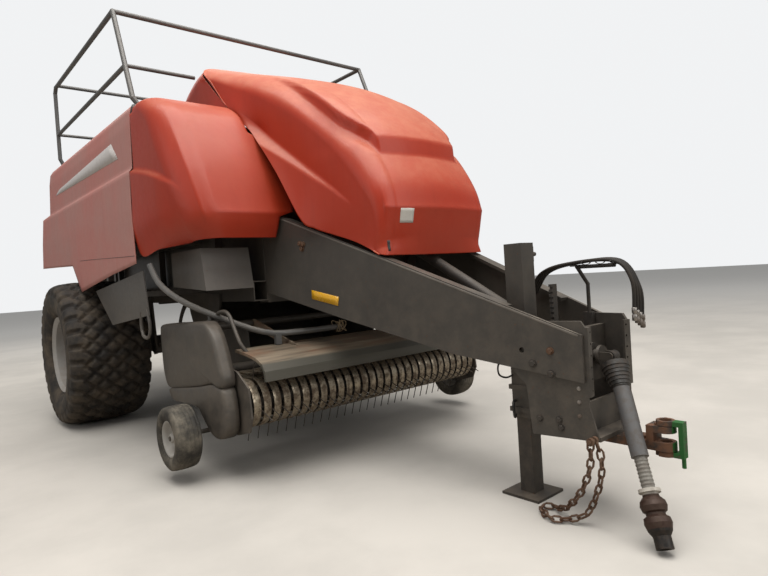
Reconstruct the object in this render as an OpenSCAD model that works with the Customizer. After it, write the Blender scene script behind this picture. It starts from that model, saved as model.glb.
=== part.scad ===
// Large square baler: a towed single-axle machine, parked on its jack
// Frame: X across, -Y towards the drawbar, +Y towards the bale chute, Z up from the ground

/* [Main wheels] */
// Outer diameter of a main tyre over its lugs
tyre_d = 1350; // [1320:5:1370]
// Width of the machine over its main tyres
tyres_over = 2992; // [2960:2:3020]
// Clearance between the chassis and a main tyre; the tyre's section width follows from it
tyre_gap = 71; // [66:1:90]
// Diameter of a main rim over its flanges
rim_d = 710; // [680:5:730]
// Height of a tread lug
lug_h = 32; // [20:2:40]
// Lugs in each of the two rows of a main tyre
lug_count = 20; // [14:1:24]
// Distance of the axle behind the middle of the machine
axle_y = 1346; // [1336:2:1356]

/* [Bale chamber] */
// Clear width of the bale chamber
chamber_w = 1200; // [1180:5:1210]
// Clear height of the bale chamber
chamber_h = 875; // [860:5:890]
// Thickness of the chamber's plates
chamber_wall = 15; // [8:1:18]
// Height of the chamber's floor above the ground
chamber_floor = 1200; // [1190:2:1210]
// Front end of the chamber
chamber_front = -780; // [-800:5:-760]
// Rear end of the chamber
chamber_rear = 3490; // [3470:5:3500]

/* [Drawbar] */
// Half width of the drawbar at its front end
bar_front_x = 210; // [206:1:216]
// Half width of the drawbar at its rear end
bar_rear_x = 605; // [600:1:610]
// Thickness of a drawbar side plate
bar_plate = 20; // [12:1:24]
// Width of the flange along the plate's top edge
bar_flange = 70; // [50:5:90]
// Thickness of the bulkhead's plates
hitch_wall = 16; // [12:1:18]
// Radius of the hitch pin hole
hitch_pin_r = 26; // [18:1:27]

/* [Jack] */
// Side of the jack's outer square tube
jack_tube_a = 110; // [104:2:112]
// Side of the jack's inner square leg
jack_leg_a = 86; // [80:1:90]
// Side of the jack's square foot
jack_foot_a = 230; // [200:5:260]
// Distance of the jack ahead of the middle of the machine
jack_y = 2906; // [2896:2:2916]

/* [Pickup] */
// Half width of the pickup between its end plates
pickup_half = 1015; // [1000:5:1020]
// Number of stripper bands across the pickup
band_count = 29; // [24:1:32]
// Outer radius of a stripper band
band_r = 152; // [140:2:156]
// Width of a stripper band
band_w = 48; // [36:1:54]
// Reach of the tine tips from the reel's axis
tine_r = 272; // [240:2:276]
// Diameter of a tine's wire
tine_d = 7; // [5:0.5:8]
// Number of tine bars on the reel
bar_count = 4; // [3:1:5]
// Diameter of a gauge wheel
gauge_d = 406; // [380:2:420]
// Width of a gauge wheel
gauge_w = 165; // [140:5:170]

/* [Panels] */
// Thickness of the moulded hood, shields and side panels
skin = 6; // [4:1:8]
// Distance of the side panels' upper half from the machine's middle
panel_x = 1280; // [1270:2:1290]
// Top of the side panels above the ground
panel_top = 2540; // [2530:2:2545]

/* [Platform] */
// Top of the handrail above the ground
rail_top = 3375; // [3340:5:3400]
// Diameter of the handrail's tube
rail_d = 38; // [30:1:44]
// Half width of the handrail
rail_x = 1200; // [1190:2:1205]

/* [Hidden] */
$fn = 40;

paint = "#c9402a";
frame_grey = "#4a4642";
dark_steel = "#34322f";
worn_steel = "#8d7c68";
rim_grey = "#b9b8b2";
rubber = "#2b2a28";

// Small general helpers
function lerp(a, b, t) = a + (b - a) * t;
function unit(v) = v / norm(v);

// A point on a smooth curve through a list of points, t from 0 to 1 (Catmull-Rom)
function curve_at(P, t) =
  let (n = len(P) - 1, s = min(t * n, n - 0.00001), i = floor(s), f = s - i,
       a = P[max(i - 1, 0)], b = P[i], c = P[i + 1], d = P[min(i + 2, n)])
  0.5 * ((2 * b) + (c - a) * f + (2 * a - 5 * b + 4 * c - d) * f * f
         + (3 * b - a - 3 * c + d) * f * f * f);
function smooth(P, count) = [for (k = [0 : count]) curve_at(P, k / count)];

// A moulded sheet: a grid of outer points, and the same grid moved in along its normals by the wall
function grid_normal(G, i, j) =
  let (n = len(G) - 1, m = len(G[0]) - 1,
       along = G[min(i + 1, n)][j] - G[max(i - 1, 0)][j],
       across = G[i][min(j + 1, m)] - G[i][max(j - 1, 0)])
  unit(cross(along, across));
module sheet(G, wall) {
  n = len(G);
  m = len(G[0]);
  N = n * m;
  outer = [for (row = G) for (p = row) p];
  inner = [for (i = [0 : n - 1]) for (j = [0 : m - 1]) G[i][j] - wall * grid_normal(G, i, j)];
  function at(i, j) = i * m + j;
  skins = [for (i = [0 : n - 2]) for (j = [0 : m - 2])
    let (a = at(i, j), b = at(i + 1, j), c = at(i + 1, j + 1), d = at(i, j + 1))
    each [[a, d, c], [a, c, b], [a + N, c + N, d + N], [a + N, b + N, c + N]]];
  ends = [for (i = [0 : n - 2])
    let (a = at(i, 0), b = at(i + 1, 0), d = at(i, m - 1), c = at(i + 1, m - 1))
    each [[a, b, b + N], [a, b + N, a + N], [c, d, d + N], [c, d + N, c + N]]];
  sides = [for (j = [0 : m - 2])
    let (a = at(0, j), d = at(0, j + 1), b = at(n - 1, j), c = at(n - 1, j + 1))
    each [[d, a, a + N], [d, a + N, d + N], [b, c, c + N], [b, c + N, b + N]]];
  polyhedron(points = concat(outer, inner), faces = concat(skins, ends, sides), convexity = 6);
}

// A tube of round section swept along route points, closed at both ends
function route_dir(P, k) = unit(P[min(k + 1, len(P) - 1)] - P[max(k - 1, 0)]);
function side_dir(d) = unit(cross(d, abs(d[2]) > 0.9 ? [1, 0, 0] : [0, 0, 1]));
function carried(side, d) = unit(side - (side * d) * d);
function side_run(P, k, s) = k == len(P) ? [] :
  let (now = carried(s, route_dir(P, k))) concat([now], side_run(P, k + 1, now));
module swept(P, r, sides = 8) {
  S = side_run(P, 0, side_dir(route_dir(P, 0)));
  rings = [for (k = [0 : len(P) - 1])
    let (d = route_dir(P, k), a = S[k], b = cross(d, a))
    each [for (q = [0 : sides - 1]) P[k] + r * (a * cos(360 * q / sides) + b * sin(360 * q / sides))]];
  last = (len(P) - 1) * sides;
  faces = concat(
    [for (k = [0 : len(P) - 2]) for (q = [0 : sides - 1])
      let (a = k * sides + q, b = k * sides + (q + 1) % sides)
      each [[a, a + sides, b + sides], [a, b + sides, b]]],
    [[for (q = [0 : sides - 1]) q]],
    [[for (q = [sides - 1 : -1 : 0]) last + q]]);
  polyhedron(points = rings, faces = faces, convexity = 8);
}

// A closed ring of round wire: points of its centre line in the X-Y plane, each with its outward normal
module wire_ring(P, r, sides = 6) {
  n = len(P);
  rings = [for (p = P) each [for (q = [0 : sides - 1])
    [p[0] + r * cos(360 * q / sides) * p[2], p[1] + r * cos(360 * q / sides) * p[3], r * sin(360 * q / sides)]]];
  faces = [for (k = [0 : n - 1]) for (q = [0 : sides - 1])
    let (a = k * sides, b = ((k + 1) % n) * sides, t = (q + 1) % sides)
    each [[a + q, b + t, b + q], [a + q, a + t, b + t]]];
  polyhedron(points = rings, faces = faces, convexity = 4);
}

// A straight round bar between two points
module bar(a, b, r) {
  d = b - a;
  translate(a) rotate([0, acos(d[2] / norm(d)), atan2(d[1], d[0])]) cylinder(r = r, h = norm(d));
}
// Round bars through a list of points, with slightly swollen elbows at the bends
elbow_swell = 0.8;
module rod(P, r) {
  for (k = [0 : len(P) - 2]) bar(P[k], P[k + 1], r);
  for (k = [1 : max(len(P) - 2, 1)]) if (len(P) > 2) translate(P[k]) sphere(r = r + elbow_swell);
}
// A box given by its lowest and highest corners
module block(low, high) {
  translate(low) cube(high - low);
}
// A plate whose outline lies in the Y-Z plane, from x0 to x1
module side_plate(outline, x0, x1) {
  translate([x0, 0, 0]) rotate([90, 0, 90]) linear_extrude(x1 - x0) polygon(outline);
}
module both_sides() {
  children();
  mirror([1, 0, 0]) children();
}

// Gap between pieces that rest on each other
seat = 0.3;

// Derived places of the running gear
axle_z = tyre_d / 2;
axle_a = 150;
hub_r = 150;
spindle_r = 45;
rim_lip = 25;
hub_len = 100;

// Derived places of the chamber and frame
cham_x = chamber_w / 2 + chamber_wall;
cham_top = chamber_floor + chamber_h + chamber_wall;
cham_low = chamber_floor - chamber_wall;
beam_w = 110;
beam_h = 140;
beam_x = cham_x + beam_w;
tyre_in = beam_x + tyre_gap;
tyre_w = tyres_over / 2 - tyre_in;
wheel_x = tyre_in + tyre_w / 2;
hub_face = wheel_x - 190;
beam_top = cham_low + 60;
beam_low = beam_top - beam_h;
cross_top = 1180;

// Drawbar: height of the side plates' top and bottom edges at a place along the machine
bar_tip_y = -3350;
bar_root_y = -1190;
function bar_top(y) = 892 + 0.39 * (y - bar_tip_y);
function bar_x(y) = lerp(bar_front_x, bar_rear_x, (y - bar_tip_y) / (bar_root_y - bar_tip_y));

bar_angle = atan2(bar_root_y - bar_tip_y, bar_rear_x - bar_front_x);
bar_len = norm([bar_rear_x - bar_front_x, bar_root_y - bar_tip_y]);
bar_hole_r = 14;
// Places along a drawbar plate are measured from its tip
module along_bar() {
  translate([bar_front_x, bar_tip_y, 0]) rotate([0, 0, bar_angle]) children();
}
module tongue_plate() {
  k = bar_len / (bar_root_y - bar_tip_y);
  low_edge = [for (p = [[0, 670], [680, 780], [1450, 970], [2160, 1160]]) [p[0] * k, p[1]]];
  top_edge = [[bar_len, bar_top(bar_root_y) - 60], [bar_len - 120, bar_top(bar_root_y) - 40],
              [0, bar_top(bar_tip_y)]];
  rise = bar_top(bar_root_y) - 40 - bar_top(bar_tip_y);
  slope = atan2(rise, bar_len - 120);
  flange_s = 372;
  along_bar() difference() {
    union() {
      rotate([90, 0, 0]) linear_extrude(bar_plate) polygon(concat(low_edge, top_edge));
      translate([flange_s, -bar_plate, bar_top(bar_tip_y) + flange_s * tan(slope)]) rotate([0, -slope, 0])
        translate([0, 0, -bar_plate]) cube([(bar_len - 120 - flange_s) / cos(slope), bar_flange, bar_plate]);
    }
    for (at = [150, 300]) for (z = [705, 815])
      translate([at, 1, z]) rotate([90, 0, 0]) cylinder(r = bar_hole_r, h = bar_plate + 2);
  }
}
module tongue_left() {
  color(frame_grey) tongue_plate();
}
module tongue_right() {
  color(frame_grey) mirror([1, 0, 0]) tongue_plate();
}

// Bulkhead: two upright plates inside the drawbar's tip with cross walls between them
bulk_front = bar_tip_y - 50;
bulk_rear = bar_tip_y + 270;
bulk_floor = 395;
input_x = 60;
input_z = 757;
swing_y = bar_tip_y + 5;
line_low_y = bar_tip_y + 200;
joint_ball = 28;
ear_t = 10;
ear_r = 20;
swing_pin_r = 10;
function bulk_x(y) = bar_x(y) - hitch_wall / 2;
module bulkhead_plate() {
  outline = [[-10, 560], [-50, 400], [275, 400], [295, 640], [355, 700], [355, 900], [250, 955],
             [10, 955], [-10, 925]];
  along_bar() {
    translate([0, seat + hitch_wall, 0]) rotate([90, 0, 0]) linear_extrude(hitch_wall) polygon(outline);
    difference() {
      translate([-22, seat, 600]) cube([14, 46, 325]);
      for (z = [625 : 55 : 900]) translate([-23, 32, z]) rotate([0, 90, 0]) cylinder(r = 6, h = 16);
    }
  }
}
// An ear of a shaft's fork: a strip along Y from y0 that ends round at the pivot y1
module ear(x, y0, y1, r) {
  block([x, min(y0, y1), input_z - r], [x + ear_t, max(y0, y1), input_z + r]);
  translate([x, y1, input_z]) rotate([0, 90, 0]) cylinder(r = r, h = ear_t);
}
module hitch_box() {
  wall_y = bar_tip_y + 120;
  front_y = bar_tip_y + 30;
  wall_t = 30;
  color(frame_grey) {
    both_sides() bulkhead_plate();
    block([-bulk_x(front_y), front_y, bulk_floor], [bulk_x(front_y), front_y + hitch_wall, 560]);
    block([-bulk_x(bulk_rear - 20), bulk_rear - 20, bulk_floor], [bulk_x(bulk_rear - 20), bulk_rear - 4, 520]);
    translate([0, 0, bulk_floor]) linear_extrude(20) polygon([
      [-bulk_x(bulk_front), bulk_front], [bulk_x(bulk_front), bulk_front],
      [bulk_x(bulk_rear), bulk_rear], [-bulk_x(bulk_rear), bulk_rear]]);
    block([-bulk_x(wall_y), wall_y, 620], [bulk_x(wall_y), wall_y + wall_t, 900]);
    // Input shaft with a fork in front of the wall and another behind it
    translate([input_x, front_y + 25, input_z]) rotate([-90, 0, 0]) cylinder(r = 50, h = 15);
    translate([input_x, front_y + 30, input_z]) rotate([-90, 0, 0]) cylinder(r = joint_ball, h = 95);
    translate([input_x, wall_y - 22, input_z]) rotate([-90, 0, 0]) cylinder(r = 62, h = wall_t + 30);
    for (side = [0, 1]) translate([input_x, 0, 0]) mirror([side, 0, 0]) {
      ear(joint_ball + seat, front_y + 35, swing_y, ear_r);
      ear(line_ball + seat, wall_y + wall_t + 5, line_low_y, line_ear_r);
    }
    translate([input_x - joint_ball - 5, swing_y, input_z]) rotate([0, 90, 0])
      cylinder(r = swing_pin_r, h = 2 * joint_ball + 10);
  }
}
tongue_z = bulk_floor - seat;
tongue_t = 40;
tongue_half = 44;
hitch_y = bar_tip_y - 262;
jaw_z = 437;
// A flat bar along Y with a round front end
module round_bar(y0, y1, z0, z1, half) {
  block([-half, y1, z0], [half, y0, z1]);
  translate([0, y1, z0]) cylinder(r = half, h = z1 - z0);
}
module hitch_clevis() {
  strap_z = 330;
  strap_t = 21.5;
  pin_y = hitch_y + 112;
  color(dark_steel) {
    difference() {
      union() {
        round_bar(hitch_y + 412, hitch_y, tongue_z - tongue_t, tongue_z, tongue_half);
        round_bar(hitch_y + 72, hitch_y, jaw_z, jaw_z + 30, tongue_half);
        block([-tongue_half, hitch_y + 40, tongue_z - 1], [tongue_half, hitch_y + 72, jaw_z + 1]);
        // Strap around the front of the clevis
        round_bar(hitch_y + 20, hitch_y, strap_z, strap_z + strap_t, 40);
        round_bar(hitch_y + 20, hitch_y, jaw_z + 33, jaw_z + 33 + strap_t, 40);
        block([-22, hitch_y - 82, strap_z], [22, hitch_y - 34, strap_z + strap_t]);
        block([-22, hitch_y - 82, jaw_z + 33], [22, hitch_y - 34, jaw_z + 33 + strap_t]);
        block([-22, hitch_y - 82, strap_z], [22, hitch_y - 62, jaw_z + 33 + strap_t]);
        block([-26, hitch_y + 18, strap_z], [26, hitch_y + 40, tongue_z - tongue_t + 1]);
        block([-26, hitch_y + 18, jaw_z + 29], [26, hitch_y + 40, jaw_z + 40]);
      }
      translate([0, hitch_y, strap_z - 1]) cylinder(r = hitch_pin_r, h = 200);
    }
    // Parked hitch pin with its head, and the strap's small pin
    translate([0, pin_y, 245]) cylinder(r = 19, h = tongue_z - 245 + 5);
    translate([0, pin_y, tongue_z - 1]) cylinder(r = 30, h = 15);
    translate([0, hitch_y - 72, 285]) cylinder(r = 9, h = 60);
  }
}

// Jack: an upright square tube with a leg that slides in it
jack_x = -50;
jack_gap = 0.4;
jack_tube_low = 420;
jack_tube_top = 1350;
jack_travel = 350;
jack_foot_t = 14;
module jack_tube() {
  a = jack_tube_a;
  b = jack_leg_a + 2 * jack_gap;
  y0 = -jack_y - a / 2;
  y1 = -jack_y + 40;
  color(frame_grey) {
    translate([jack_x, -jack_y, 0]) {
      difference() {
        translate([-a / 2, -a / 2, jack_tube_low]) cube([a, a, jack_tube_top - jack_tube_low]);
        translate([-b / 2, -b / 2, jack_tube_low - 1]) cube([b, b, jack_tube_top - jack_tube_low - 7]);
      }
      for (z = [jack_tube_low + 30, jack_tube_low + 150]) difference() {
        translate([-a / 2 - 12, -a / 2 - 12, z]) cube([a + 24, a + 24, 24]);
        translate([-a / 2 + 2, -a / 2 + 2, z - 1]) cube([a - 4, a - 4, 26]);
      }
      // Crank gearbox and its shaft
      translate([a / 2 - 1, -30, jack_tube_top - 100]) cube([40, 60, 80]);
      translate([a / 2 + 30, 0, jack_tube_top - 60]) rotate([0, 90, 0]) cylinder(r = 12, h = 60);
    }
    // Ties to both drawbar plates
    for (side = [0, 1]) mirror([side, 0, 0]) for (z = side == 0 ? [760] : [760, 960]) {
      x0 = (side == 0 ? jack_x : -jack_x) + a / 2 - 1;
      translate([0, 0, z]) linear_extrude(20)
        polygon([[x0, y0], [bar_x(y0) - seat, y0], [bar_x(y1) - seat, y1], [x0, y1]]);
    }
  }
}
module jack_leg() {
  a = jack_leg_a;
  color(dark_steel) translate([jack_x, -jack_y, 0]) {
    translate([-a / 2, -a / 2, jack_foot_t]) cube([a, a, jack_tube_top - 20 - jack_travel - jack_foot_t]);
    translate([-jack_foot_a / 2, -jack_foot_a / 2, 0]) cube([jack_foot_a, jack_foot_a, jack_foot_t]);
  }
}

// Driveline from the bulkhead up to the flywheel, and the main gearbox behind it
fly_y = -1640;
fly_z = 1520;
fly_r = 390;
fly_w = 150;
line_ball = 25;
line_ear_r = 17;
line_neck = 10;
stub_r = 35;
fly_cap_y = fly_y - fly_w / 2 - 60;
line_low = [input_x, line_low_y, input_z];
line_high = [0, fly_cap_y - 55, fly_z];
module driveline() {
  d = unit(line_high - line_low);
  color(dark_steel) {
    for (p = [line_low, line_high]) translate(p) sphere(r = line_ball);
    bar(line_low + 10 * d, line_high - 10 * d, line_neck);
    bar(line_low + 52 * d, line_high - 48 * d, 34);
    bar(line_low + 54 * d, line_low + 190 * d, 42);
    bar(line_high - 240 * d, line_high - 60 * d, 48);
  }
}
module flywheel() {
  color(dark_steel) {
    translate([0, fly_y - fly_w / 2, fly_z]) rotate([-90, 0, 0]) rotate_extrude()
      polygon([[0, -60], [62, -60], [62, 20], [fly_r - 70, 40], [fly_r - 70, 0], [fly_r, 0], [fly_r, fly_w],
               [fly_r - 70, fly_w], [fly_r - 70, 110], [120, 100], [stub_r + 0.05, 100],
               [stub_r + 0.05, -44], [0, -44]]);
    for (side = [0, 1]) mirror([side, 0, 0]) {
      block([line_ball + seat, line_high[1], fly_z - line_ear_r],
            [line_ball + seat + ear_t, fly_cap_y + 1, fly_z + line_ear_r]);
      translate([line_ball + seat, line_high[1], fly_z]) rotate([0, 90, 0]) cylinder(r = line_ear_r, h = ear_t);
    }
  }
}
gearbox_front = -1490;
module gearbox() {
  color(frame_grey) {
    block([-300, gearbox_front, cross_top + seat], [300, chamber_front - 20, 1900]);
    translate([0, gearbox_front + 1, fly_z]) rotate([90, 0, 0]) cylinder(r = 120, h = 41);
    translate([0, gearbox_front, fly_z]) rotate([90, 0, 0])
      cylinder(r = stub_r, h = gearbox_front - (fly_cap_y + 16 + seat));
  }
}

module chamber() {
  color(frame_grey) {
    difference() {
      block([-cham_x, chamber_front, cham_low], [cham_x, chamber_rear, cham_top]);
      block([-chamber_w / 2, chamber_front - 1, chamber_floor],
            [chamber_w / 2, chamber_rear + 1, chamber_floor + chamber_h]);
      block([-chamber_w / 2 + 60, 180, cham_low - 1], [chamber_w / 2 - 60, 620, chamber_floor + 1]);
    }
    for (y = rib_ys)
      both_sides() block([cham_x - 1, y, beam_top + seat], [cham_x + rib_x, y + 60, cham_top - 20]);
    both_sides() difference() {
      union() {
        block([601, chamber_rear - 1, chute_z - 50], [cham_x, chute_y, chute_z + 50]);
        translate([601, chute_y, chute_z]) rotate([0, 90, 0]) cylinder(r = 50, h = cham_x - 601);
      }
      translate([600, chute_y, chute_z]) rotate([0, 90, 0]) cylinder(r = chute_pin_r, h = 40);
    }
  }
}
rib_x = 60;
rib_ys = [2150, 2450, 2750, 3050, 3350];
module main_frame() {
  color(frame_grey) {
    both_sides() {
      difference() {
        block([cham_x + seat, bar_root_y + seat, beam_low], [beam_x, 3200, beam_top]);
        block([cham_x + 8, bar_root_y, beam_low + 8], [beam_x - 8, 3201, beam_top - 8]);
      }
      side_plate([[bar_root_y + seat, beam_top - 1], [bar_root_y + seat, 1620], [chamber_front, 2040],
                  [-300, 2040], [-300, beam_top - 1]], cham_x + seat, cham_x + 14);
      side_plate([[axle_y - 190, beam_low + 1], [axle_y - 90, axle_z - 75], [axle_y + 90, axle_z - 75],
                  [axle_y + 190, beam_low + 1]], cham_x + 20, cham_x + 40);
      side_plate([[pivot_y - 120, beam_low], [pivot_y - 35, pivot_z - 35], [pivot_y + 35, pivot_z - 35],
                  [pivot_y + 120, beam_low]], beam_x + 5, beam_x + 20);
      block([beam_x - 1, pivot_y - 120, beam_low], [beam_x + 20, pivot_y + 120, beam_low + 60]);
      translate([beam_x + 19, pivot_y, pivot_z]) rotate([0, 90, 0])
        cylinder(r = pin_r, h = pivot_x + 50 - beam_x - 19);
    }
    block([-cham_x - 1, 900, beam_low - 20], [cham_x + 1, 1000, cham_low - seat]);
    block([-cham_x - 1, 2900, beam_low], [cham_x + 1, 3000, cham_low - seat]);
    block([-cham_x - 1, bar_root_y + seat, 1090], [cham_x + 1, bar_root_y + 120, cross_top]);
  }
}
module axle() {
  a = axle_a / 2;
  color(dark_steel) {
    block([-cham_x - 19.5, axle_y - a, axle_z - a], [cham_x + 19.5, axle_y + a, axle_z + a]);
    both_sides() {
      block([cham_x + 40.5, axle_y - a, axle_z - a], [tyre_in - 20, axle_y + a, axle_z + a]);
      translate([tyre_in - 20, axle_y, axle_z]) rotate([0, 90, 0]) 
        cylinder(r = spindle_r, h = hub_face - tyre_in + 18 + hub_len);
    }
  }
}

// Main wheel: a carcass with two rows of slanted lugs, on a dished rim
module tyre() {
  R = tyre_d / 2;
  base = R - lug_h;
  h = tyre_w / 2;
  bead = rim_d / 2 - rim_lip;
  color(rubber) rotate([0, 90, 0]) union() {
    rotate_extrude() polygon([[bead, -h + 90], [rim_d / 2 + 10, -h + 70], [rim_d / 2 + 60, -h + 20],
      [base - 90, -h + 4], [base - 30, -h + 30], [base - 4, -h + 90], [base, 0], [base - 4, h - 90],
      [base - 30, h - 30], [base - 90, h - 4], [rim_d / 2 + 60, h - 20], [rim_d / 2 + 10, h - 70],
      [bead, h - 90], [bead, 0]]);
    intersection() {
      for (row = [0, 1]) for (k = [0 : lug_count - 1])
        rotate([0, 0, 360 * (k + row / 2) / lug_count])
          mirror([0, 0, row])
            translate([base, 0, h / 2 - 10]) rotate([24, 0, 0]) cube([2 * lug_h + 40, 84, h + 40], center = true);
      rotate_extrude() polygon([[base - 60, -h + 6], [base - 30, -h + 6], [R - 34, -h + 30], [R - 4, -h + 80],
        [R, -h / 2], [R, h / 2], [R - 4, h - 80], [R - 34, h - 30], [base - 30, h - 6], [base - 60, h - 6]]);
    }
  }
}
module rim() {
  h = tyre_w / 2;
  r = rim_d / 2;
  seat = r - rim_lip;
  face = hub_face - wheel_x;
  color(rim_grey) rotate([0, 90, 0]) rotate_extrude() polygon([
    [seat - 12, -h + 82], [r, -h + 55], [r, -h + 62], [seat - 0.3, -h + 89], [seat - 0.3, h - 89],
    [r, h - 62], [r, h - 55], [seat - 12, h - 82], [seat - 12, face + 130], [hub_r + 50, face + 60],
    [hub_r + 30, face + 60], [hub_r + 20, face + 90], [60, face + 90], [60, face + 120], [0, face + 120],
    [0, face + hub_len], [spindle_r + 0.05, face + hub_len], [spindle_r + 0.05, face], [hub_r, face],
    [hub_r, face + 40], [seat - 24, face + 110], [seat - 24, -h + 82]]);
}
module at_wheel(side) {
  mirror([side < 0 ? 1 : 0, 0, 0]) translate([wheel_x, axle_y, axle_z]) children();
}
module tyre_right() {
  at_wheel(-1) tyre();
}
module tyre_left() {
  at_wheel(1) tyre();
}
module rim_right() {
  at_wheel(-1) rim();
}
module rim_left() {
  at_wheel(1) rim();
}

// Pickup: bands over a reel of tines, carried between end plates that pivot behind
pick_y = -1472;
pick_z = 483;
pivot_y = -560;
pivot_z = 860;
band_pitch = 2 * pickup_half / band_count;
band_t = 5;
end_t = 12;
end_x = pickup_half + 8;
back_y = -1120;
cross_y = -900;
cross_z = 938;
cross_r = 25;
reel_r = 22;
pin_r = 15;
gauge_pin_r = 15;
pivot_x = 775;
// Gauge wheel on a short axle outside each end of the pickup
gauge_y = -1130;
gauge_z = 285;
gauge_x = 1205;
leg_y = -1182;
// One stripper band: a crowned strap round the reel's front, with straight ends to the channel behind
module band() {
  w = band_w / 2;
  strap = [[band_r - band_t, -w], [band_r - 2, -w], [band_r, -0.55 * w], [band_r, 0.55 * w],
           [band_r - 2, w], [band_r - band_t, w]];
  run = leg_y - pick_y;
  rotate([180, -90, 0]) rotate_extrude(angle = 180) polygon(strap);
  rotate([-90, 0, 0]) linear_extrude(run) polygon([for (p = strap) [p[1], -p[0]]]);
  rotate([-90, 0, 0]) linear_extrude(run) polygon([for (k = [len(strap) - 1 : -1 : 0]) [strap[k][1], strap[k][0]]]);
}
module pickup_bands() {
  low = pick_z - band_r;
  high = pick_z + band_r;
  color(worn_steel) {
    for (k = [0 : band_count - 1])
      translate([-pickup_half + (k + 0.5) * band_pitch, pick_y, pick_z]) band();
    difference() {
      block([-end_x + seat, leg_y - 1, low], [end_x - seat, back_y, high]);
      block([-end_x, leg_y + 8, low + 8], [end_x, back_y + 1, high - 8]);
    }
  }
}
module pickup_frame() {
  outline = [[-1640, 420], [-1600, 330], [-1450, 290], [-900, 350], [-520, 720], [-480, 860],
             [-540, 940], [-640, 930], [-880, 965], [-960, 940], [-1060, 760], [-1480, 690], [-1620, 600]];
  color(frame_grey) {
    both_sides() difference() {
      side_plate(outline, end_x, end_x + end_t);
      translate([end_x - 1, pick_y, pick_z]) rotate([0, 90, 0]) cylinder(r = reel_r, h = end_t + 2);
    }
    block([-end_x - 1, back_y + seat, 400], [end_x + 1, back_y + 60, 460]);
    translate([-end_x - 1, back_y + 90, 640]) rotate([0, 90, 0]) cylinder(r = 40, h = 2 * end_x + 2);
    translate([-end_x - 1, cross_y, cross_z]) rotate([0, 90, 0]) cylinder(r = cross_r, h = 2 * end_x + 2);
    both_sides() {
      difference() {
        translate([pivot_x, pivot_y, pivot_z]) rotate([0, 90, 0]) cylinder(r = 30, h = end_x + 1 - pivot_x);
        translate([pivot_x - 1, pivot_y, pivot_z]) rotate([0, 90, 0]) cylinder(r = pin_r + 0.05, h = 60);
      }
      block([end_x + end_t - 1, gauge_y - 25, gauge_z - 25], [end_x + end_t + 14, gauge_y + 25, 420]);
      translate([end_x + end_t + 1, gauge_y, gauge_z]) rotate([0, 90, 0])
        cylinder(r = gauge_pin_r, h = gauge_x + gauge_w - end_x - end_t - 22);
    }
  }
}
module pickup_reel() {
  half = pickup_half - 5;
  bar_y = pick_y - 95;
  color(dark_steel) {
    translate([-end_x - end_t, pick_y, pick_z]) rotate([0, 90, 0])
      cylinder(r = reel_r - 0.1, h = 2 * (end_x + end_t));
    translate([-half, pick_y, pick_z]) rotate([0, 90, 0]) cylinder(r = 45, h = 2 * half);
    for (b = [0 : bar_count - 1]) rotate_about(360 * b / bar_count + 20) {
      translate([-half, bar_y, pick_z]) rotate([0, 90, 0]) cylinder(r = 16, h = 2 * half);
      for (x = [-half + 5, 0, half - 5])
        block([x - 6, bar_y, pick_z - 10], [x + 6, pick_y, pick_z + 10]);
      for (k = [1 : band_count - 1]) translate([-pickup_half + k * band_pitch, bar_y, pick_z]) {
        translate([-9, 0, 0]) rotate([0, 90, 0]) cylinder(r = coil_r, h = 18);
        translate([0, 0, coil_r - tine_d]) rotate([90, 0, 0]) cylinder(d = tine_d, h = tine_reach, $fn = 6);
      }
    }
  }
}
coil_r = 21;
tine_reach = sqrt(tine_r * tine_r - coil_r * coil_r) - 97;
module rotate_about(a) {
  translate([0, pick_y, pick_z]) rotate([a, 0, 0]) translate([0, -pick_y, -pick_z]) children();
}
// Moulded end covers in two halves, each a face with a turned-in rim; scaled copies give the rim's wall
function grown(P, k) =
  let (n = len(P), sum = [for (i = 0, a = [0, 0]; i <= n; a = i < n ? a + P[i] : a, i = i + 1) a][n], c = sum / n)
  [for (p = P) c + k * (p - c)];
cover_in = end_x + end_t + 32;
cover_out = 1150;
module cover_shell(outline, inset) {
  difference() {
    union() {
      side_plate(outline, cover_in, cover_out - 14);
      side_plate(grown(outline, 0.985), cover_out - 15, cover_out - 6);
      side_plate(grown(outline, 0.955), cover_out - 7, cover_out);
    }
    side_plate(grown(outline, inset), cover_in - 1, cover_out - 14);
  }
}
module pickup_shields() {
  upper = [[-500, 930], [-530, 965], [-900, 985], [-1230, 1000], [-1310, 985], [-1370, 930], [-1455, 760],
           [-1492, 650], [-1470, 600], [-1350, 622], [-1000, 566], [-620, 520], [-560, 540], [-510, 640]];
  lower = [[-1466, 592], [-1492, 545], [-1512, 440], [-1500, 345], [-1440, 292], [-1370, 280], [-1300, 300],
           [-1160, 430], [-900, 452], [-640, 440], [-600, 470], [-606, 512], [-1000, 558], [-1350, 613]];
  color(frame_grey) both_sides() {
    cover_shell(upper, 0.975);
    cover_shell(lower, 0.96);
    block([end_x + end_t + seat, -1300, 585], [cover_in + 60, -1240, 640]);
    block([end_x + end_t + seat, -700, 500], [cover_in + 60, -640, 560]);
  }
}
module windguard() {
  folded = [[-1350, 812], [-1500, 797], [-1620, 775], [-1690, 745], [-1724, 700], [-1732, 640],
            [-1714, 638], [-1706, 692], [-1676, 728], [-1614, 757], [-1500, 779], [-1350, 794]];
  arm = [[-872, 908], [-860, 950], [-930, 968], [-1380, 835], [-1500, 805], [-1500, 790], [-1350, 800]];
  color(worn_steel) {
    side_plate(folded, -972, 972);
    difference() {
      both_sides() side_plate(arm, 590, 602);
      translate([-700, cross_y, cross_z]) rotate([0, 90, 0]) cylinder(r = cross_r + seat, h = 1400);
    }
  }
}
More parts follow.
